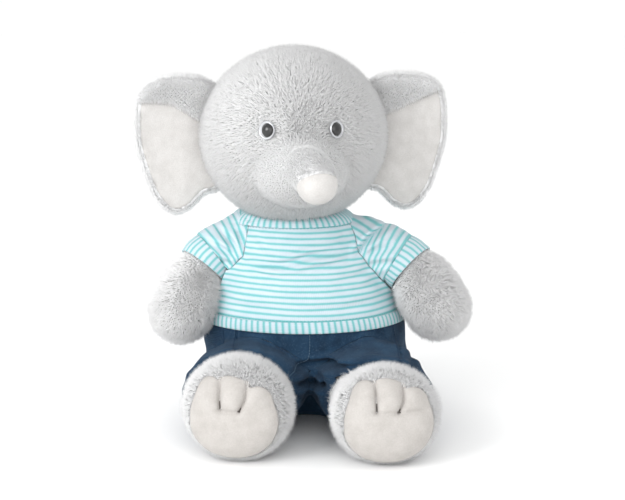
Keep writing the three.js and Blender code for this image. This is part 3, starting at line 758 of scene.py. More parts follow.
def turned(profile, sides, place, out):
    """A turned shape: radius and height pairs about a line that leaves its place along out."""
    side = unit(np.cross(out, [0, 0, 1.0]))
    up = np.cross(side, out)
    angles = np.linspace(0, 2 * np.pi, sides, endpoint=False)
    ring = np.cos(angles)[:, None] * side + np.sin(angles)[:, None] * up
    points = [place + radius * ring + height * out for radius, height in profile]
    last = (len(profile) - 1) * sides
    ends = [list(range(sides))[::-1], [last + k for k in range(sides)]]
    return np.concatenate(points), grid(len(profile), sides) + ends


def make_eyes():
    """The domes sit in their rings a little towards the trunk, and the rings face somewhat sideways."""
    curve = [(5.2 * math.cos(a), 2.3 + 4.0 * math.sin(a)) for a in np.linspace(0, 1.45, 12)]
    dome = [(5.0, 1.2), *curve, (0.05, 6.4)]
    ring = [(4.6, 0.4), (6.4, 0.4), (6.75, 1.2), (6.65, 1.9), (6.3, 2.5), (5.8, 2.7), (5.1, 2.6), (4.9, 2.2)]
    for side, sign in SIDES.items():
        outer = sign * HEAD_TURN[:, 0]
        spot, out = eye_place(sign)
        out = unit(out + 0.42 * outer)
        seat = spot - 1.6 * out + 0.9 * outer
        for name, profile, material, place in (
            (f"eye_dome_{side}", dome, EYE_BLACK, seat - 1.7 * outer),
            (f"eye_ring_{side}", ring, EYE_RING, seat),
        ):
            made = piece(name, *turned(profile, 40, place, out), material)
            moves(outward(made), "head")
        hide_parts(f"eye_{side}")


# ---- Ears ----

EAR_AXIS = np.array([66.0, 10.0, 0.0])
EAR_OUTLINE = smooth_path([
    [54, 34], [68, 42], [86, 43.5], [101, 41], [112, 33], [115.5, 17], [115.5, -4], [111, -22],
    [105, -40], [97, -53], [87, -58.5], [76, -54], [66, -44], [54, -38], [50, -4], [54, 34],
], 70)
EAR_FOLDS = {
    "left": [[48, 6], [70, 15], [86, 22], [100, 29], [124, 40]],
    "right": [[48, 0], [70, 13], [89, 25], [104, 27], [124, 27]],
}


def outline_gap(outline, flat):
    """Signed distance from a closed flat outline, below zero inside."""
    gap = nearest(np.c_[outline, np.zeros(len(outline))], np.c_[flat, np.zeros(len(flat))])[0]
    x, y = flat[:, 0], flat[:, 1]
    inside = np.zeros(len(flat), bool)
    for (ax, ay), (bx, by) in zip(outline[:-1], outline[1:]):
        if ay != by:
            inside ^= ((ay > y) != (by > y)) & (x < (bx - ax) * (y - ay) / (by - ay) + ax)
    return np.where(inside, -gap, gap)


def gap_table(outline, low, high, step=0.5):
    """The same distance, looked up between the knots of a flat grid."""
    low = np.array(low, float)
    counts = np.ceil((np.array(high, float) - low) / step).astype(int) + 1
    table = outline_gap(outline, np.indices(counts).reshape(2, -1).T * step + low).reshape(counts)

    def look_up(flat):
        spot = np.clip((flat - low) / step, 0, counts - 1.001)
        at = spot.astype(int)
        i, j = at.T
        u, v = (spot - at).T
        lower = table[i, j] * (1 - u) + table[i + 1, j] * u
        upper = table[i, j + 1] * (1 - u) + table[i + 1, j + 1] * u
        return lower * (1 - v) + upper * v

    return look_up


ear_gap = gap_table(EAR_OUTLINE, [40, -70], [126, 56])


def make_ear(side):
    sign = SIDES[side]
    fold = np.array(EAR_FOLDS[side], float)

    def local(p):
        q = to_head(p)
        return np.c_[sign * q[:, 0], q[:, 1] - EAR_AXIS[1], q[:, 2]]

    def cup(q):
        """How far the ear's middle lies behind its plane: cupped forward at the rim."""
        return 2.0 - 3.5 * step_up(q[:, 0], 84, 116) + 1.5 * np.sin((q[:, 2] + 10) / 16)

    def above(q):
        return q[:, 2] - np.interp(q[:, 0], fold[:, 0], fold[:, 1])

    def shape(q, low, high, soft, flat):
        """A layer of the ear between two depths, with soft edges."""
        behind = q[:, 1] - cup(q)
        depth = np.maximum(low - behind, behind - high) + soft
        side_gap = flat + soft
        outside = np.hypot(np.maximum(depth, 0), np.maximum(side_gap, 0))
        return np.minimum(np.maximum(depth, side_gap), 0) + outside - soft

    def back_field(p):
        q = local(p)
        flat = ear_gap(q[:, [0, 2]])
        base = shape(q, -1.5, 5.0, 3.0, flat + 1.5)
        rim = shape(q, -3.8, 4.4, 2.0, np.maximum(flat + 1.5, -flat - 3.4))
        flap = shape(q, -6.6, 3.0, 3.4, np.maximum(flat + 1.5, -above(q)))
        return joined(joined(base, rim, 2.0), flap, 1.5)

    def lining_field(p):
        q = local(p)
        flat = ear_gap(q[:, [0, 2]])
        swell = 1.2 * bell(q[:, 0] - 84, 14) * step_up(-flat, 4, 14)
        return shape(q, -3.0 - swell, 0.5, 1.4, np.maximum(flat + 2.9, above(q) - 2.5))

    corners = [
        from_head([sign * x, EAR_AXIS[1] + y, z]) for x in (48, 119) for y in (-14, 12) for z in (-62, 47)]
    low, high = np.min(corners, 0), np.max(corners, 0)
    points, faces = skin_of(back_field, low, high, 1.9)
    back = piece(f"ear_plush_{side}", points, faces, PLUSH_BACKING)
    q = local(points)
    flat = ear_gap(q[:, [0, 2]])
    in_front = q[:, 1] - cup(q) < -0.8
    white = in_front & (flat < -3.2) & (above(q) < -1.5)
    against_head = head_ball(points) < 1.5
    nap = np.where(white | against_head, 0.0, 0.72)
    pull_flat = np.stack([sign * (0.35 * (q[:, 0] - 80) / 40), np.zeros(len(q)), -0.5 + 0 * q[:, 0]], 1)
    comb = lying(points, back_field, pull_flat @ HEAD_TURN.T)
    fur = furred(f"ear_fur_{side}", points, faces, nap, comb, LIMB_FUR_PAINTED_LIGHT, 5.6, seed=20 + sign)
    lining_points, lining_faces = skin_of(lining_field, low, high, 1.9)
    lining = piece(f"ear_lining_velour_{side}", lining_points, lining_faces, WHITE_VELOUR)
    hinge = EAR_AXIS * [sign, 1, 1]
    bend = ("head", f"ear_{side}", from_head(hinge - [sign * 4.0, 0, 0]), from_head(hinge + [sign * 9.0, 0, 0]))
    stuffed(back, bend, [f"ear_back_{side}", f"ear_wadding_{side}"])
    moves(fur, bend)
    stuffed(lining, bend, [f"ear_lining_{side}"])


# ---- Clothed body ----

BODY_PROFILE = smooth_path([
    [-1.5, 54], [4, 64], [18, 73], [38, 77.5], [60, 78.5], [76, 77], [94, 71], [112, 63], [128, 56], [142, 50],
    [152, 44], [158, 36], [164, 26],
], 90)
BODY_DEPTH = 0.74
BODY_LEAN = -0.097
CLOTH_RUN = np.concatenate([[0], np.cumsum(np.hypot(*np.diff(BODY_PROFILE, axis=0).T))])
SHOULDERS = {"right": np.array([-49.0, -2, 133]), "left": np.array([39.0, -2, 130])}
ARM_PATHS = {
    "right": [[0, 0, 0], [-19, -4, -7], [-34, -10, -20], [-46, -23, -43], [-56, -32, -64]],
    "left": [[0, 0, 0], [20, -4, -7], [38, -10, -19], [51, -22, -38], [61, -30, -53]],
}
HIPS = {"right": np.array([-40.0, -32, 32]), "left": np.array([40.0, -32, 32])}
LEG_PATH = np.array([[0, 0, 0], [4, -22, 2], [9, -48, 5], [11.5, -72, 5]], float)
FEET = {
    "right": dict(centre=[-12, -77, 3.2], radii=[37.5, 24, 36.2], lean=-4, out=-9),
    "left": dict(centre=[11, -84, 0.6], radii=[36.5, 24, 33.4], lean=-12, out=5),
}
arm_paths = {side: smooth_path(SHOULDERS[side] + np.array(ARM_PATHS[side]), 16) for side in SIDES}
leg_paths = {side: smooth_path(HIPS[side] + LEG_PATH * [SIDES[side], 1, 1], 12) for side in SIDES}


def body_round(p):
    """Offset from the body's leaning axis, with the depth stretched so that the section is a circle."""
    return p[:, 0] - BODY_LEAN * p[:, 2], p[:, 1] / BODY_DEPTH


def torso_field(p):
    x, y = body_round(p)
    return (np.hypot(x, y) - np.interp(p[:, 2], *BODY_PROFILE.T)) * 0.86


def crease(p, line, width, depth, lip=0.5):
    """A fold in the cloth's front: a furrow along a line of (x, z) places, with a soft lip on each side."""
    flat = p * [1, 0, 1]
    line = np.array(line, float) @ np.array([[1, 0, 0], [0, 0, 1]])
    height = np.zeros(len(p))
    reach = 5 * width
    close = ((flat > line.min(0) - reach) & (flat < line.max(0) + reach))[:, [0, 2]].all(1) & (p[:, 1] < 20)
    if not close.any():
        return height
    path = smooth_path(line, 8)
    gap, spot, _ = nearest(path, flat[close])
    total = np.linalg.norm(np.diff(path, axis=0), axis=1).sum()
    ends = np.sin(np.pi * np.clip(spot / total, 0.04, 0.96)) ** 0.6 * (gap < reach)
    lips = bell(gap - 2.1 * width, 1.1 * width)
    height[close] = depth * ends * (lip * lips - bell(gap, width))
    return height


# Each fold's line, half width, depth and lip.
SHIRT_CREASES = [
    ([[-54, 122.5], [-42, 123.5], [-31, 122.4], [-20, 123], [-9, 126.5], [0, 129.2], [14, 130.6], [36, 130]],
     2.3, 3.1, 0.7),
    ([[37, 130], [28, 126.5], [20, 123.5], [8, 121], [-6, 121]], 2.2, 2.0, 0.5),
    ([[-52, 121], [-40, 116], [-26, 113]], 2.4, 1.3, 0.7),
    ([[44, 117], [32, 112], [16, 110]], 2.4, 1.4, 0.7),
    ([[48, 106], [38, 103], [22, 103], [8, 105]], 2.6, 0.9, 0.6),
    ([[-60, 104], [-46, 103], [-30, 106]], 2.6, 0.8, 0.6),
    ([[-42, 146], [-38, 138], [-30, 132]], 2.2, 0.8, 0.6),
    ([[24, 146], [20, 138], [10, 134]], 2.2, 0.8, 0.6),
    ([[52, 96], [30, 92], [5, 91]], 3.0, 0.8, 0.6),
    ([[-64, 94], [-40, 90], [-16, 91]], 3.0, 0.7, 0.6),
]
SLEEVE_CREASES = [
    ([[33, 128], [38, 134], [46, 141], [56, 147], [66, 151]], 2.1, 3.4, 0.8),
    ([[36, 127], [50, 130], [66, 134]], 2.4, 1.6, 0.7),
    ([[40, 119], [54, 120], [68, 122]], 2.4, 1.4, 0.7),
    ([[-53, 126], [-60, 136], [-72, 147]], 2.0, 1.9, 0.8),
    ([[-53, 124], [-66, 131], [-82, 137]], 2.0, 1.8, 0.8),
    ([[-50, 130], [-53, 141], [-58, 153]], 2.0, 1.7, 0.8),
    ([[-56, 120], [-70, 122], [-86, 125]], 2.2, 1.4, 0.7),
]
CUFF_START, CUFF_END = 28.0, 40.0
ARMPIT = {"right": 127.0, "left": 131.0}
RAGLAN = {"right": [[149, -47.2], [127, -51.2]], "left": [[151, 27], [141, 31.5], [129, 34]]}


def raglan(p, side):
    """How far a point lies inwards of the sleeve's seam."""
    line = np.array(RAGLAN[side], float)[::-1]
    return SIDES[side] * (np.interp(p[:, 2], line[:, 0], line[:, 1]) - p[:, 0])


sleeve_fields = {
    side: tube(arm_paths[side], [0, 16, 26, 30, 44], [21.5, 20.8, 20.6, 19.8, 19.4]) for side in SIDES}


def wrinkles(p, size, depth, shift=0.0):
    """Slow uneven waves in the cloth."""
    x, y, z = (p / size + shift).T
    wave = np.sin(x * 1.9 + 2.1 * np.sin(z * 1.3)) * np.sin(z * 2.3 + 1.7 * np.sin(y * 1.1 + x * 0.7))
    return depth * wave


def shirt_smooth(p):
    base = torso_field(p)
    for side in SIDES:
        base = joined(base, sleeve_fields[side](p), 9.0)
    return base


def sleeve_side(p, side):
    """Below zero where the cloth belongs to that sleeve."""
    below_armpit = ARMPIT[side] - np.maximum(-raglan(p, side), 0) * 1.05 - p[:, 2]
    past_cuff = nearest(arm_paths[side], p)[1] - CUFF_START
    under = np.minimum((sleeve_fields[side](p) - torso_field(p)) * 0.7, np.maximum(below_armpit, past_cuff))
    return np.maximum(raglan(p, side), under)


OPENING_X = -6.0


def shirt_relief(p):
    front = step_up(-p[:, 1], -12, 8)
    relief = wrinkles(p, 13.0, 0.45)
    for line, width, depth, lip in SHIRT_CREASES + SLEEVE_CREASES:
        relief = relief + front * crease(p, line, width, depth, lip)
    back_waves = np.sin(p[:, 0] / 8.0 + np.sin(p[:, 2] / 9.0))
    relief = relief + 0.7 * (1 - front) * back_waves * step_up(p[:, 2], 84, 110)
    for side in SIDES:
        relief = relief - 0.55 * bell(sleeve_side(p, side), 0.9)
    relief = relief - 0.6 * bell(p[:, 0] - OPENING_X, 0.9) * (p[:, 1] > 0)
    near_bands = np.minimum(np.abs(p[:, 2] - HEM_TOP), np.abs(p[:, 2] - COLLAR_BOTTOM))
    return relief * step_up(near_bands, 0, 7) - 0.35 * bell(near_bands, 1.0)


HEM_BOTTOM, HEM_TOP = 74.5, 83.0
COLLAR_BOTTOM, COLLAR_TOP = 149.0, 160.0
shirt_field = lambda p: shirt_smooth(p) - shirt_relief(p)


def body_angle(p):
    x, y = body_round(p)
    return np.arctan2(-y, x)


def cloth_level(p):
    """Height up the body, measured along the cloth and pulled about a little where it folds."""
    level = np.interp(p[:, 2], BODY_PROFILE[:, 0], CLOTH_RUN)
    return level + 0.1 * shirt_relief(p) + 0.6 * np.sin(p[:, 0] / 21.0 + 1.0)


def around_arm(p, side):
    """Each point's distance from the arm's line, its place along it, and its angle about it."""
    gap, spot, offset = nearest(arm_paths[side], p)
    run = np.array([SIDES[side] * 0.7, -0.25, -0.66])
    first = unit(np.cross(run, [0, 1.0, 0]))
    second = unit(np.cross(run, first))
    return gap, spot, np.arctan2(offset @ second, offset @ first)


BLEND_SLEEVE = {"right": ([-56, -2, 133], [-76, -6, 124]), "left": ([42, -2, 131], [66, -6, 121])}


def make_shirt():
    points, faces = skin_of(shirt_field, [-116, -66, 66], [104, 66, 166], 1.5)
    gap, overlap = 0.12, 0.18
    body_rules = [
        lambda p: HEM_TOP - 1.2 - p[:, 2], lambda p: p[:, 2] - COLLAR_BOTTOM + gap,
        lambda p: gap - sleeve_side(p, "left"), lambda p: gap - sleeve_side(p, "right"),
    ]
    behind = lambda p: gap - p[:, 1]
    for name, flat, area, rules in (
        ("shirt_front", (0.165, 0.07), 0.0088, [lambda p: p[:, 1] + gap]),
        ("shirt_back_left", (0.085, 0.07), 0.0047, [behind, lambda p: OPENING_X + overlap - p[:, 0]]),
        ("shirt_back_right", (0.085, 0.07), 0.0052, [behind, lambda p: p[:, 0] - OPENING_X + overlap]),
    ):
        part, part_faces = trimmed(points, faces, every(*body_rules, *rules), shirt_field)
        cloth = np.c_[body_angle(part) * 60, cloth_level(part)]
        clothing(f"{name}_knit", part, part_faces, cloth, KNIT, "torso", name)
    for side in SIDES:
        part, part_faces = trimmed(points, faces, every(
            lambda p: sleeve_side(p, side) + gap, lambda p: around_arm(p, side)[1] - CUFF_START + gap,
            lambda p: np.minimum(p[:, 2] - COLLAR_BOTTOM, 1.4 - torso_field(p)),
        ), shirt_field)
        _, spot, angle = around_arm(part, side)
        along = SIDES[side] * (part[:, 0] - SHOULDERS[side][0])
        level = np.where(spot > 0.5, spot, along)
        if side == "left":
            over_fold = part[:, 2] > np.interp(part[:, 0], *np.array(SLEEVE_CREASES[0][0], float).T)
            level = np.where(over_fold, 0.42 * part[:, 0] + 0.9 * part[:, 2], level)
        cloth = np.c_[angle * 20, level + 0.2 * shirt_relief(part)]
        bend = ("torso", f"arm_{side}", *BLEND_SLEEVE[side])
        clothing(f"sleeve_{side}_knit", part, part_faces, cloth, KNIT, bend, f"sleeve_{side}")


def make_torso():
    """The plush torso under the shirt."""
    inner = lambda p: common(torso_field(p) + 3.6, 64 - p[:, 2], 3.0)
    points, faces = skin_of(inner, [-100, -64, 58], [86, 64, 160], 3.0)
    skin = piece("torso_skin_plush", points, faces, PLUSH_BACKING)
    stuffed(skin, "torso", ["torso_skin", "torso_stuffing"])


def band_round(p, bottom, height, lift, swell):
    """A band about the body, fullest along its middle."""
    return torso_field(p) - lift - swell * np.sin(np.pi * np.clip((p[:, 2] - bottom) / height, 0, 1))


def make_bands():
    def hem_field(p):
        return band_round(p, HEM_BOTTOM, 12, 0.9, 0.5) - wrinkles(p * [1, 1, 0.2], 15, 0.3)

    def collar_field(p):
        pucker = 0.6 * bell(p[:, 0] + 47, 3.0) * np.sin(p[:, 2] * 1.1) * (p[:, 1] < 0)
        return band_round(p, COLLAR_BOTTOM, 11, 1.2, 0.6) - pucker

    for name, field, low, high, step, bottom, top, girth, flat, depth, nodes in (
        ("shirt_hem_band", hem_field, [-104, -66, 66], [92, 66, 88], 1.5, HEM_BOTTOM, HEM_TOP - 0.1, 72,
         (0.43, 0.0105), 1.6, "shirt_hem_band"),
        ("shirt_collar", collar_field, [-72, -50, 144], [52, 50, 166], 1.2, COLLAR_BOTTOM, COLLAR_TOP, 42,
         (0.25, 0.0125), 1.8, "shirt_collar neck_stuffing"),
    ):
        points, faces = skin_of(field, low, high, step)
        between = every(lambda p: bottom - p[:, 2], lambda p: p[:, 2] - top)
        part, part_faces = trimmed(points, faces, between, field)
        cloth = np.c_[part[:, 2], body_angle(part) * girth]
        clothing(f"{name}_knit", part, part_faces, cloth, KNIT, "torso", nodes,
                 depth)

    for side in SIDES:
        def cuff_field(p):
            return tube(arm_paths[side], [0, 28, 34, 40], [20.6, 20.6, 21.2, 20.6])(p) - wrinkles(p, 10, 0.25)

        centre = arm_paths[side][6]
        points, faces = skin_of(cuff_field, centre - 42, centre + 42, 1.2)
        on_cuff = every(
            lambda p: CUFF_START - around_arm(p, side)[1], lambda p: around_arm(p, side)[1] - CUFF_END)
        part, part_faces = trimmed(points, faces, on_cuff, cuff_field)
        _, spot, angle = around_arm(part, side)
        clothing(f"sleeve_cuff_{side}_knit", part, part_faces, np.c_[spot, angle * 20.05], KNIT, f"arm_{side}",
                 f"sleeve_cuff_{side}", 1.6)


def make_arms():
    for side, sign in SIDES.items():
        path = arm_paths[side]
        run = np.concatenate([[0], np.cumsum(np.linalg.norm(np.diff(path, axis=0), axis=1))])
        paw = np.stack([np.interp(np.linspace(18, 76, 12), run, path[:, axis]) for axis in range(3)], 1)
        arm = tube(paw, [0, 16, 27, 44, 58], [15.5, 15.4, 17.4, 21.4, 21.2])
        arm_field = lambda p: arm(p) - wrinkles(p, 12, 0.4)
        points, faces = skin_of(arm_field, paw.min(0) - 26, paw.max(0) + 26, 2.2)
        skin = piece(f"arm_{side}_skin", points, faces, PLUSH_BACKING)
        _, spot, _ = nearest(path, points)
        comb = lying(points, arm_field, np.array([sign * 0.32, -0.15, -0.42]) + np.zeros_like(points))
        nap = np.where(spot > 37.5, np.clip((spot - 32) / 14, 0.35, 1), 0)
        fur = furred(f"arm_fur_{side}", points, faces, nap, comb, LIMB_FUR_PAINTED_LIGHT, 6.6, tuft=1.3, seed=31 + sign)
        stuffed(skin, f"arm_{side}", [f"arm_skin_{side}", f"arm_stuffing_{side}"])
        moves(fur, f"arm_{side}")


# ---- Legs and shorts ----

FOOT_FLATNESS = 0.7


def foot_turn(side):
    lean, out = math.radians(FEET[side]["lean"]), math.radians(FEET[side]["out"])
    about_x = np.array([[1, 0, 0], [0, math.cos(lean), -math.sin(lean)], [0, math.sin(lean), math.cos(lean)]])
    about_z = np.array([[math.cos(out), -math.sin(out), 0], [math.sin(out), math.cos(out), 0], [0, 0, 1]])
    return about_z @ about_x


def foot_field(side):
    turn, centre = foot_turn(side), HIPS[side] + FEET[side]["centre"]
    wide, deep, high = FEET[side]["radii"]

    def field(p):
        q = (p - centre) @ turn
        full = (np.abs(q[:, 1]) / deep) ** (2 / FOOT_FLATNESS) + (q[:, 0] / wide) ** 2 + (q[:, 2] / high) ** 2
        return (np.sqrt(full) - 1) * 30

    return field


CALF_END = -97.0
LEG_DROP = {"right": 0.0, "left": 3.5}


def raised(p, side):
    """The places from which a leg hangs lower towards its foot."""
    return p + np.c_[np.zeros(len(p)), np.zeros(len(p)), LEG_DROP[side] * step_up(-p[:, 1], 40, 80)]


def leg_field(side):
    cover, foot = shorts_leg_field(side), foot_field(side)
    calf = lambda p: common(cover(p) + 5.5 - 2.5 * step_up(-p[:, 1], 55, 80), CALF_END - p[:, 1], 2.0)
    return lambda p: common(joined(calf(p), foot(p) + 1.8, 8), 0.9 - p[:, 2], 3)


SOLE = [
    [-31, -4], [-30.4, -14], [-25, -23], [-16, -29.5], [-6, -32], [0, -32.3], [8, -31.6], [17, -28.5],
    [26, -21], [31, -10], [31.2, 0], [28.4, 9], [26.6, 14.5], [22.5, 18.6], [17, 20.4], [11.4, 19.6],
    [8.6, 23.6], [0, 26.6], [-6.8, 26.2],
    [-10.4, 23.6], [-13.6, 25.4], [-19.5, 24.8], [-24.2, 20], [-27.2, 12], [-30, 4], [-31, -4],
]
TOE_SLITS = {
    "right": [[[-8.0, 4.0], [-8.6, 12], [-8.8, 27]], [[5.4, 3.0], [9.4, 13], [9.2, 27]]],
    "left": [[[-9.0, 4.0], [-9.0, 12], [-9.0, 27]], [[6.0, 3.5], [9.8, 13], [9.4, 27]]],
}


def make_legs():
    for side, sign in SIDES.items():
        field = leg_field(side)
        turn, centre = foot_turn(side), HIPS[side] + FEET[side]["centre"]
        points, faces = skin_of(field, HIPS[side] - [52, 116, 34], HIPS[side] + [56, 34, 46], 2.2)
        skin = piece(f"leg_{side}_skin", points, faces, PLUSH_BACKING)
        q = (points - centre) @ turn
        outline = smooth_path(SOLE, 96)
        flat = outline_gap(outline, q[:, [0, 2]])
        on_sole = (q[:, 1] < 0) & (flat < -1.8)
        out_of_pad = q[:, [0, 2]] - [0, -6]
        out_of_pad /= np.linalg.norm(out_of_pad, axis=1)[:, None] + 1e-6
        pull = (np.c_[out_of_pad[:, 0] * 0.35, np.full(len(q), -0.35), out_of_pad[:, 1] * 0.3]) @ turn.T
        comb = lying(points, field, pull)
        nap = np.where(on_sole | (points[:, 1] > -83), 0, 1.0) * np.where((q[:, 1] < 0) & (flat < 3), 0.75, 1.0)
        nap = nap * np.where(points[:, 2] < 2.0, 0.55, 1.0)
        fur = furred(f"leg_fur_{side}", points, faces, nap, comb, HEAD_FUR, 6.6, density=2.6, tuft=0.95,
                     seed=41 + sign)
        stuffed(skin, f"leg_{side}", [f"leg_skin_{side}", f"leg_stuffing_{side}"])
        moves(fur, f"leg_{side}")
        make_sole(side, outline, turn, centre)


def make_sole(side, outline, turn, centre):
    """The velour sole: a pillowed pad whose three toes are pulled in by tacking threads."""
    wide, deep, high = np.array(FEET[side]["radii"]) + [2.2, 2.0, 2.2]
    slits = [smooth_path(np.c_[line, np.zeros(len(line))], 8) for line in TOE_SLITS[side]]
    middle = np.array([0, -6.0])
    rings, sides = 46, 192
    angles = np.linspace(0, 2 * np.pi, sides, endpoint=False)
    edge_angles = np.unwrap(np.arctan2(*(outline - middle).T[::-1]))
    edge_radii = np.linalg.norm(outline - middle, axis=1)
    order = np.argsort(edge_angles)
    laps = np.concatenate([edge_angles[order] + lap for lap in (-2 * np.pi, 0, 2 * np.pi)])
    reach = np.interp(angles, laps, np.tile(edge_radii[order], 3))
    shares = np.linspace(0, 1, rings)[1:]
    spokes = np.c_[np.cos(angles), np.sin(angles)]
    flat = np.concatenate([[middle]] + [middle + (reach * s)[:, None] * spokes for s in shares])
    share = np.concatenate([[0], np.repeat(shares, sides)])

    def to_edge(sharpness):
        """1 over the pad, falling to 0 at its edge."""
        return np.sqrt(np.clip(1 - share**sharpness, 0, 1))

    rise = np.clip(1 - (flat[:, 0] / wide) ** 2 - (flat[:, 1] / high) ** 2, 0.02, 1)
    depth = -deep * rise ** (FOOT_FLATNESS / 2)
    swell = 3.4 * to_edge(7) - 2.2
    toes = step_up(flat[:, 1], 2, 12)
    swell = swell + 2.6 * toes * (np.abs(np.cos(flat[:, 0] / 19.0 * np.pi)) - 0.35) * to_edge(5)
    for slit in slits:
        gap, spot, _ = nearest(slit, np.c_[flat, np.zeros(len(flat))])
        swell = swell - 2.6 * bell(gap, 0.9) * to_edge(9) - 1.3 * bell(gap, 2.8) * (share < 0.99)
    reach_out = 30 if side == "left" else 9
    under_toes = step_up(flat[:, 0], -14, -8) * (1 - step_up(flat[:, 0], reach_out - 8, reach_out))
    swell = swell - 1.5 * under_toes * bell(flat[:, 1] - 2.8 - 0.0025 * flat[:, 0] ** 2, 1.5)
    swell = swell + 0.25 * np.sin(flat[:, 0] / 5) * np.sin(flat[:, 1] / 6)
    points = np.c_[flat[:, 0], depth - swell, flat[:, 1]] @ turn.T + centre
    faces = [[0, 1 + (k + 1) % sides, 1 + k] for k in range(sides)] + grid(rings - 1, sides, first=1)
    points[:, 2] = np.maximum(points[:, 2], 0.8)
    pad = piece(f"sole_pad_{side}_velour", points, faces, SOLE_VELOUR_PAINTED_SHADE)
    pad.data.flip_normals()
    if (normals(pad) @ (turn @ [0, -1.0, 0])).mean() < 0:
        pad.data.flip_normals()
    stuffed(thick(pad, 2.0), f"leg_{side}", [f"sole_pad_{side}"])
    for which, at in zip(("inner", "outer") if side == "left" else ("outer", "inner"), (0, 1)):
        lies = slits[at][: 4 if at == 0 else 2]
        rise = 1 - (lies[:, 0] / wide) ** 2 - (lies[:, 1] / high) ** 2
        spots = np.c_[lies[:, 0], -deep * rise ** (FOOT_FLATNESS / 2) + 1.9, lies[:, 1]] @ turn.T + centre
        tack = spots[0] + np.array([[1.3, -0.4, -0.3], [-0.9, -0.7, 0.3]]) @ turn.T
        lines = [tack, spots] if at == 1 else [spots]
        made = threads(f"toe_thread_{side}_{which}_tack", lines, 0.3, TOE_THREAD)
        moves(made, f"leg_{side}")
        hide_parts(f"toe_thread_{side}_{which}")


def threads(name, lines, radius, material, sides=8):
    """Round threads along lines, as one closed mesh."""
    points, faces = [], []
    for line in lines:
        runs = np.gradient(line, axis=0)
        runs /= np.linalg.norm(runs, axis=1)[:, None]
        base = len(points)
        for spot, run in zip(line, runs):
            across = unit(np.cross(run, [0.13, 0.31, 0.94]))
            up = np.cross(run, across)
            for k in range(sides):
                angle = 2 * math.pi * k / sides
                points.append(spot + radius * (math.cos(angle) * across + math.sin(angle) * up))
        last = base + (len(line) - 1) * sides
        faces += grid(len(line), sides, first=base)
        faces += [[base + k for k in range(sides)][::-1], [last + k for k in range(sides)]]
    return outward(piece(name, points, faces, material))


LEG_MOUTH = {"right": dict(shift=-1.6, half=(42.5, 32.5)), "left": dict(shift=-2.8, half=(40.5, 30.5))}


def shorts_leg_field(side):
    wide = tube(leg_paths[side], [0, 16, 32, 46, 60, 73], [31, 34.5, 37, 38.8, 39.5, 39.8])
    path = leg_paths[side]

    def field(p):
        ahead = -p[:, 1]
        far = step_up(ahead, 42, 74)
        drawn_in = 7.0 * step_up(ahead, 74, 88)
        q = raised(p, side)
        wide_half, high_half = LEG_MOUTH[side]["half"]
        own_half = np.interp(ahead, [32, 54, 72, 86], [31, 35.5, 38, 39.3])
        for axis, half, own, shift, grown in (
            (0, wide_half, own_half, LEG_MOUTH[side]["shift"], step_up(ahead, 22, 50)),
            (2, high_half, 39.4, 0, far),
        ):
            middle = np.interp(ahead, -path[:, 1], path[:, axis])
            stretch = 1 + (own / (half - drawn_in) - 1) * grown
            q[:, axis] = middle + (q[:, axis] - middle - shift * grown) * stretch
        return wide(q) / (1 + 0.35 * far)

    return field


shorts_leg_fields = {side: shorts_leg_field(side) for side in SIDES}
FLY_SEAM = [[-0.5, 77], [-0.5, 66], [-1.2, 58], [-4.5, 53.5], [-10.5, 51.2], [-16, 49]]
FRONT_SEAM = [[-16, 49], [-17.6, 45.5], [-16, 41], [-11.5, 35], [-7.5, 27]]
SIDE_SEAMS = {"right": [[-55, 77], [-55.4, 70], [-57, 62]], "left": [[61, 77], [63, 66], [66.5, 52]]}
SHORTS_CREASES = [
    ([[-14, 51.5], [4, 53], [24, 55.5], [46, 58]], 2.0, 3.0, 1.1),
    ([[-15, 43], [-5, 40.5], [5, 40], [14, 42]], 2.1, 2.4, 0.9),
    ([[8, 47], [9, 38], [8, 29]], 2.2, 1.6, 0.7),
    ([[-18, 50], [-28, 56], [-34, 66]], 2.6, 1.3, 0.7),
    ([[10, 60], [11, 68], [9.5, 77]], 2.4, 1.0, 0.6),
    ([[-26, 62], [-24, 69], [-25, 77]], 2.6, 0.9, 0.6),
    ([[30, 66], [31, 72], [29, 78]], 2.6, 0.8, 0.6),
    ([[-70, 62], [-60, 54], [-52, 50]], 3.0, 1.4, 0.6),
    ([[80, 60], [72, 54], [60, 51]], 3.0, 1.5, 0.6),
    (FLY_SEAM, 0.75, 1.1, 0.35),
    (FRONT_SEAM, 0.8, 1.3, 0.5),
    (SIDE_SEAMS["right"], 0.75, 1.0, 0.35),
    (SIDE_SEAMS["left"], 0.75, 1.0, 0.35),
]
SIDE_SEAM_Y = -36.0


def shorts_smooth(p):
    hollow = egg(np.array([-3.0, -60, -2]), np.array([26.0, 42, 33]), np.eye(3))(p)
    base = common(torso_field(p) + 1.2, -hollow, 5.0)
    for side in SIDES:
        base = joined(base, shorts_leg_fields[side](p), 7.0)
    return common(base, 0.35 - p[:, 2], 2.0)


def shorts_relief(p):
    front = step_up(-p[:, 1], 20, 40)
    relief = wrinkles(p, 11.0, 0.6, 0.4)
    for line, width, depth, lip in SHORTS_CREASES:
        relief = relief + front * crease(p, line, width, depth, lip)
    back_seam = bell(p[:, 0] + 5, 1.0) * (p[:, 1] > 0)
    flank = bell(p[:, 1] - SIDE_SEAM_Y + 0.2 * (p[:, 2] - 60), 1.0) * (p[:, 2] > 40)
    relief = relief - 0.5 * flank * (np.abs(p[:, 0]) > 60)
    return relief * step_up(p[:, 2], 1, 12) - 0.5 * back_seam


shorts_field = lambda p: shorts_smooth(p) - shorts_relief(p)
OPENING_Y = -85.0
SHORTS_TOP = 77.0


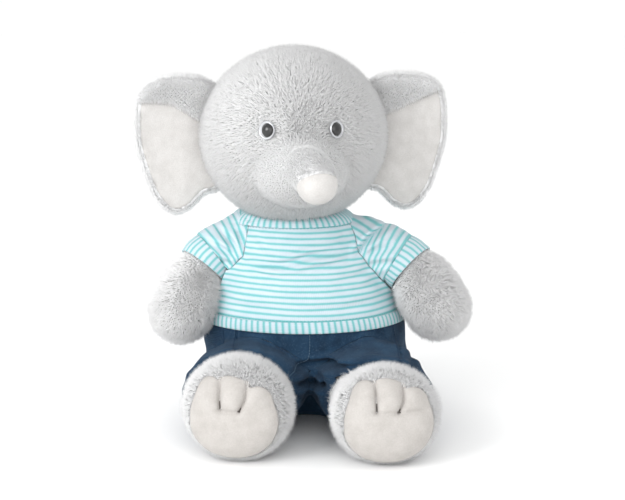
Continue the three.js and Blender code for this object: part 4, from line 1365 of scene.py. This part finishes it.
def make_shorts():
    points, faces = skin_of(shorts_field, [-102, -132, -4], [102, 62, 92], 1.7)

    def leg_side(p, side):
        """Below zero where the denim belongs to that leg."""
        forward = p[:, 1] + 30 + 0.35 * (p[:, 2] - 32)
        off_body = (shorts_leg_fields[side](p) - torso_field(p) - 1.6) * 0.7
        return np.max([forward, -SIDES[side] * (p[:, 0] + 2.5), off_body], axis=0)

    for side in SIDES:
        on_leg = every(
            lambda p: leg_side(p, side) + 0.1, lambda p: OPENING_Y - p[:, 1] + 0.06 * (p[:, 2] - 40))
        part, part_faces = trimmed(points, faces, on_leg, shorts_field)
        bend = ("torso", f"leg_{side}", HIPS[side] + [0, 6, 0], HIPS[side] + [0, -22, 0])
        clothing(f"shorts_leg_{side}_denim", part, part_faces, part[:, [0, 2]], DENIM, bend,
                 f"shorts_leg_{side}", 1.3)
    for name, nodes, flat, area, rule in (
        ("shorts_front", "shorts_front", (0.14, 0.06), 0.0042, lambda p: p[:, 1] - SIDE_SEAM_Y + 0.1),
        ("shorts_back", "shorts_back seat_pellet_pouch", (0.3, 0.13), 0.03,
         lambda p: SIDE_SEAM_Y - p[:, 1] + 0.1),
    ):
        on_panel = every(
            rule, lambda p: p[:, 2] - SHORTS_TOP,
            lambda p: 0.1 - leg_side(p, "left"), lambda p: 0.1 - leg_side(p, "right"))
        part, part_faces = trimmed(points, faces, on_panel, shorts_field)
        clothing(f"{name}_denim", part, part_faces, part[:, [0, 2]], DENIM, "torso", nodes,
                 1.3)


# ---- Stitches ----


def stitch_tree(stitch_shape):
    """Stitches along a line: laid at an even pitch, each along the line."""
    rows = Tree("stitches", [
        ("Pitch", "Float", 0.002), ("Length", "Float", 0.0013), ("Width", "Float", 0.0004),
        ("Thread", "Material", None),
    ])
    add, given = rows.add, rows.given
    curve = add("GeometryNodeMeshToCurve", {"Mesh": given["Geometry"]}).outputs["Curve"]
    even = add("GeometryNodeResampleCurve", {"Curve": curve, "Length": given["Pitch"]}, mode="LENGTH")
    tangent = add("GeometryNodeInputTangent").outputs["Tangent"]
    turn = add("FunctionNodeAlignRotationToVector", {"Vector": tangent}, axis="X").outputs["Rotation"]
    scale = [given[name] for name in ("Length", "Width", "Width")]
    laid = rows.repeated(stitch_shape, even.outputs["Curve"], turn, scale, given["Thread"])
    add("NodeGroupOutput", {0: laid})
    return rows.tree, rows.sockets


def stitch_shape_made():
    """One stitch, a unit long and a unit wide, rounded at both ends."""
    rows, sides = [(-0.5, 0.12), (-0.34, 0.42), (0, 0.5), (0.34, 0.42), (0.5, 0.12)], 6
    angles = [2 * math.pi * k / sides for k in range(sides)]
    points = [(x, r * math.cos(angle), r * math.sin(angle)) for x, r in rows for angle in angles]
    ends = [list(range(sides)), [4 * sides + k for k in range(sides)][::-1]]
    return smooth_object("stitch", points, ends + [[b, a, d, c] for a, b, c, d in grid(len(rows), sides)])


def on_front(field, line, from_y=-125.0, to_y=0.0):
    """The places of a line of (x, z) on the nearest front surface of a field."""
    ys = np.linspace(from_y, to_y, 160)
    flat = smooth_path(np.c_[[p[0] for p in line], np.zeros(len(line)), [p[1] for p in line]], 40)
    grid = np.repeat(flat, len(ys), axis=0)
    grid[:, 1] = np.tile(ys, len(flat))
    depth = field(grid).reshape(len(flat), len(ys))
    first = np.argmax(depth < 0, axis=1)
    rows = np.arange(len(flat))
    before, after = depth[rows, first - 1], depth[rows, first]
    flat[:, 1] = ys[first - 1] + (ys[1] - ys[0]) * before / (before - after + 1e-9)
    return flat


def stitched(name, lines, thread, pitch, length, width):
    """Rows of stitches on the body's clothes, as a plain mesh of their own."""
    mesh = bpy.data.meshes.new(name)
    points, edges = [], []
    for line in lines:
        edges += [(len(points) + k, len(points) + k + 1) for k in range(len(line) - 1)]
        points += [tuple(np.array(p) * MM) for p in line]
    mesh.from_pydata(points, edges, [])
    guide = linked(name + "_line", mesh)
    rows = guide.modifiers.new("stitches", "NODES")
    rows.node_group = stitch_nodes
    for key, value in dict(Pitch=pitch * MM, Length=length * MM, Width=width * MM, Thread=thread).items():
        rows[stitch_inputs[key]] = value
    bpy.context.view_layer.update()
    shown = guide.evaluated_get(bpy.context.evaluated_depsgraph_get())
    made = linked(name, bpy.data.meshes.new_from_object(shown))
    bpy.data.objects.remove(guide)
    moves(made, "torso")


def beside(line, across):
    """A line of (x, z) moved sideways by a distance."""
    line = np.array(line, float)
    run = np.gradient(line, axis=0)
    run /= np.linalg.norm(run, axis=1)[:, None]
    return line + across * np.c_[-run[:, 1], run[:, 0]]


def make_stitching():
    lift = np.array([0, -0.55, 0])
    fly = on_front(shorts_field, beside(FLY_SEAM, -1.5)) + lift
    front = on_front(shorts_field, beside(FRONT_SEAM, 1.5)[:3]) + lift
    stitched("fly_stitches", [fly, front], PALE_THREAD, 2.1, 1.4, 0.42)
    for side in SIDES:
        line = on_front(shorts_field, beside(SIDE_SEAMS[side], -1.6)) + lift
        stitched(f"side_seam_stitches_{side}", [line], NAVY_THREAD, 2.2, 1.5, 0.45)
    for side, across in (("left", 3.0), ("right", -3.0)):
        line = [[OPENING_X + across, z] for z in (86, 100, 115, 130, 146)]
        down_back = on_front(lambda p: shirt_field(p * [1, -1, 1]), line, -75.0, -10.0)
        down_back = down_back * [1, -1, 1] + [0, 0.4, 0]
        stitched(f"back_opening_stitches_{side}", [down_back], TEAL_THREAD, 2.6, 1.8, 0.35)
    for name, level in (("hem_seam_stitches", HEM_TOP + 0.8), ("collar_seam_stitches", COLLAR_BOTTOM - 0.8)):
        stitched(name, [about_body(level, 1.1, np.linspace(0, 2 * np.pi, 180))], TEAL_THREAD, 2.6, 1.8, 0.35)


def about_body(level, outside, angles):
    """A level ring about the body, that far outside it."""
    radius = np.interp(level, *BODY_PROFILE.T) + outside
    x, y = radius * np.cos(angles) + BODY_LEAN * level, BODY_DEPTH * radius * np.sin(angles)
    return np.c_[x, y, np.full(len(angles), level)]


def make_waist():
    """The shorts' waistband with its elastic, and the two closure tapes, under the shirt."""
    heights = np.linspace(77.4, 87.6, 9)
    angles = np.linspace(0, 2 * np.pi, 96, endpoint=False)
    for name, node, inset, material, finish in (
        ("shorts_waistband_denim", "shorts_waistband", 2.0, DENIM, "denim"),
        ("waist_elastic_band", "waist_elastic", 3.4, ELASTIC, "elastic"),
    ):
        points = np.concatenate([about_body(z, -inset - 0.3 * math.sin(z * 2), angles) for z in heights])
        faces = grid(len(heights), len(angles))
        clothing(name, points, faces, points[:, [0, 2]], material, "torso", node,
                 0.7)
    xs, zs = np.linspace(OPENING_X - 8, OPENING_X + 8, 17), np.linspace(92, 145, 28)
    for name, node, inset in (
        ("closure_hook_strip", "closure_hook_tape", 1.9), ("closure_loop_strip", "closure_loop_tape", 2.9),
    ):
        points = []
        for z in zs:
            radius = np.interp(z, *BODY_PROFILE.T)
            behind = BODY_DEPTH * np.sqrt(radius**2 - (xs - BODY_LEAN * z) ** 2) - inset
            points += list(np.c_[xs, behind, np.full(len(xs), z)])
        points = np.array(points)
        faces = grid(len(zs), len(xs), closed=False)
        clothing(name, points, faces, points[:, [0, 2]], TAPE, "torso", node,
                 0.6)


# ---- Tail ----

TAIL_ROOT = np.array([-3.0, 51, 31])


def make_tail():
    path = smooth_path(TAIL_ROOT + np.array([[0, 0, 0], [0, 12, -3], [0, 20, -10], [0, 23, -17]]), 10)
    cord = tube(path, [0, 10, 22, 28], [5.2, 4.8, 4.4, 4.0])
    tuft = egg(TAIL_ROOT + [0, 23, -19], [6, 6, 7])
    cord_box = path.min(0) - 8, path.max(0) + 8
    tuft_box = TAIL_ROOT + [-9, 14, -29], TAIL_ROOT + [9, 32, -9]
    for name, field, box, step, pull, nap, length, density, seed in (
        ("tail", cord, cord_box, 1.2, [0, 0.25, -0.5], 0.55, 5.0, 2.7, 51),
        ("tail_tuft", tuft, tuft_box, 1.3, [0, 0.2, -1.0], 1.0, 7.5, 1.6, 52),
    ):
        points, faces = skin_of(field, *box, step)
        skin = piece(f"{name}_plush", points, faces, PLUSH_BACKING)
        comb = lying(points, field, np.array(pull) + np.zeros_like(points))
        outside = np.where((torso_field(points) > 1.0) | (name == "tail_tuft"), nap, 0)
        fur = furred(f"{name}_fur", points, faces, outside, comb, LIMB_FUR_PAINTED_LIGHT, length, density=density, seed=seed)
        stuffed(skin, "tail", ["tail_cord" if name == "tail" else name])
        moves(fur, "tail")


# ---- Making the toy ----

stitch_shape = stitch_shape_made()
stitch_nodes, stitch_inputs = stitch_tree(stitch_shape)

make_head()
make_trunk()
make_eyes()
for ear_side in SIDES:
    make_ear(ear_side)
make_torso()
make_shirt()
make_bands()
make_arms()
make_legs()
make_shorts()
make_waist()
make_stitching()
make_tail()
bpy.data.objects.remove(strand_shape)
bpy.data.objects.remove(stitch_shape)

for washer_side in SIDES:
    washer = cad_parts[f"eye_washer_{washer_side}"]
    washer.data.materials.clear()
    washer.data.materials.append(WASHER)

# ---- Floor, light and camera ----

UNDER_SOLES = -0.0004
bpy.ops.mesh.primitive_circle_add(vertices=96, radius=4.0, fill_type="NGON", location=(0, 0, UNDER_SOLES))
floor = bpy.context.object
floor.name = "floor"
floor.data.materials.append(Finish("pale_floor", (0.985, 0.985, 0.983), 0.7).material)

scene = bpy.context.scene
scene.view_settings.view_transform = "Standard"
world = bpy.data.worlds.new("studio")
scene.world = world
world.use_nodes = True
world.node_tree.nodes["Background"].inputs["Color"].default_value = (1, 1, 1, 1)
world.node_tree.nodes["Background"].inputs["Strength"].default_value = 1.02


def softbox(name, place, target, size, power):
    lamp = bpy.data.lights.new(name, "AREA")
    lamp.shape, lamp.size, lamp.energy = "DISK", size, power
    made = bpy.data.objects.new(name, lamp)
    bpy.context.scene.collection.objects.link(made)
    made.location = place
    made.rotation_euler = (Vector(target) - Vector(place)).to_track_quat("-Z", "Y").to_euler()


MIDDLE = (0, 0, 0.13)
softbox("key_light", (-1.2, -1.1, 0.85), MIDDLE, 1.0, 15.5)
softbox("front_light", (0.1, -1.6, 0.7), MIDDLE, 1.7, 8)

camera_data = bpy.data.cameras.new("camera")
camera_data.sensor_width = 36
camera_data.lens = 91.3
camera = bpy.data.objects.new("camera", camera_data)
scene.collection.objects.link(camera)
camera.location = (0, -1.1738, 0.3745)
camera.rotation_euler = (Vector((0, 0, 0.125)) - camera.location).to_track_quat("-Z", "Y").to_euler()
camera_data.clip_start, camera_data.clip_end = 0.05, 50
scene.camera = camera
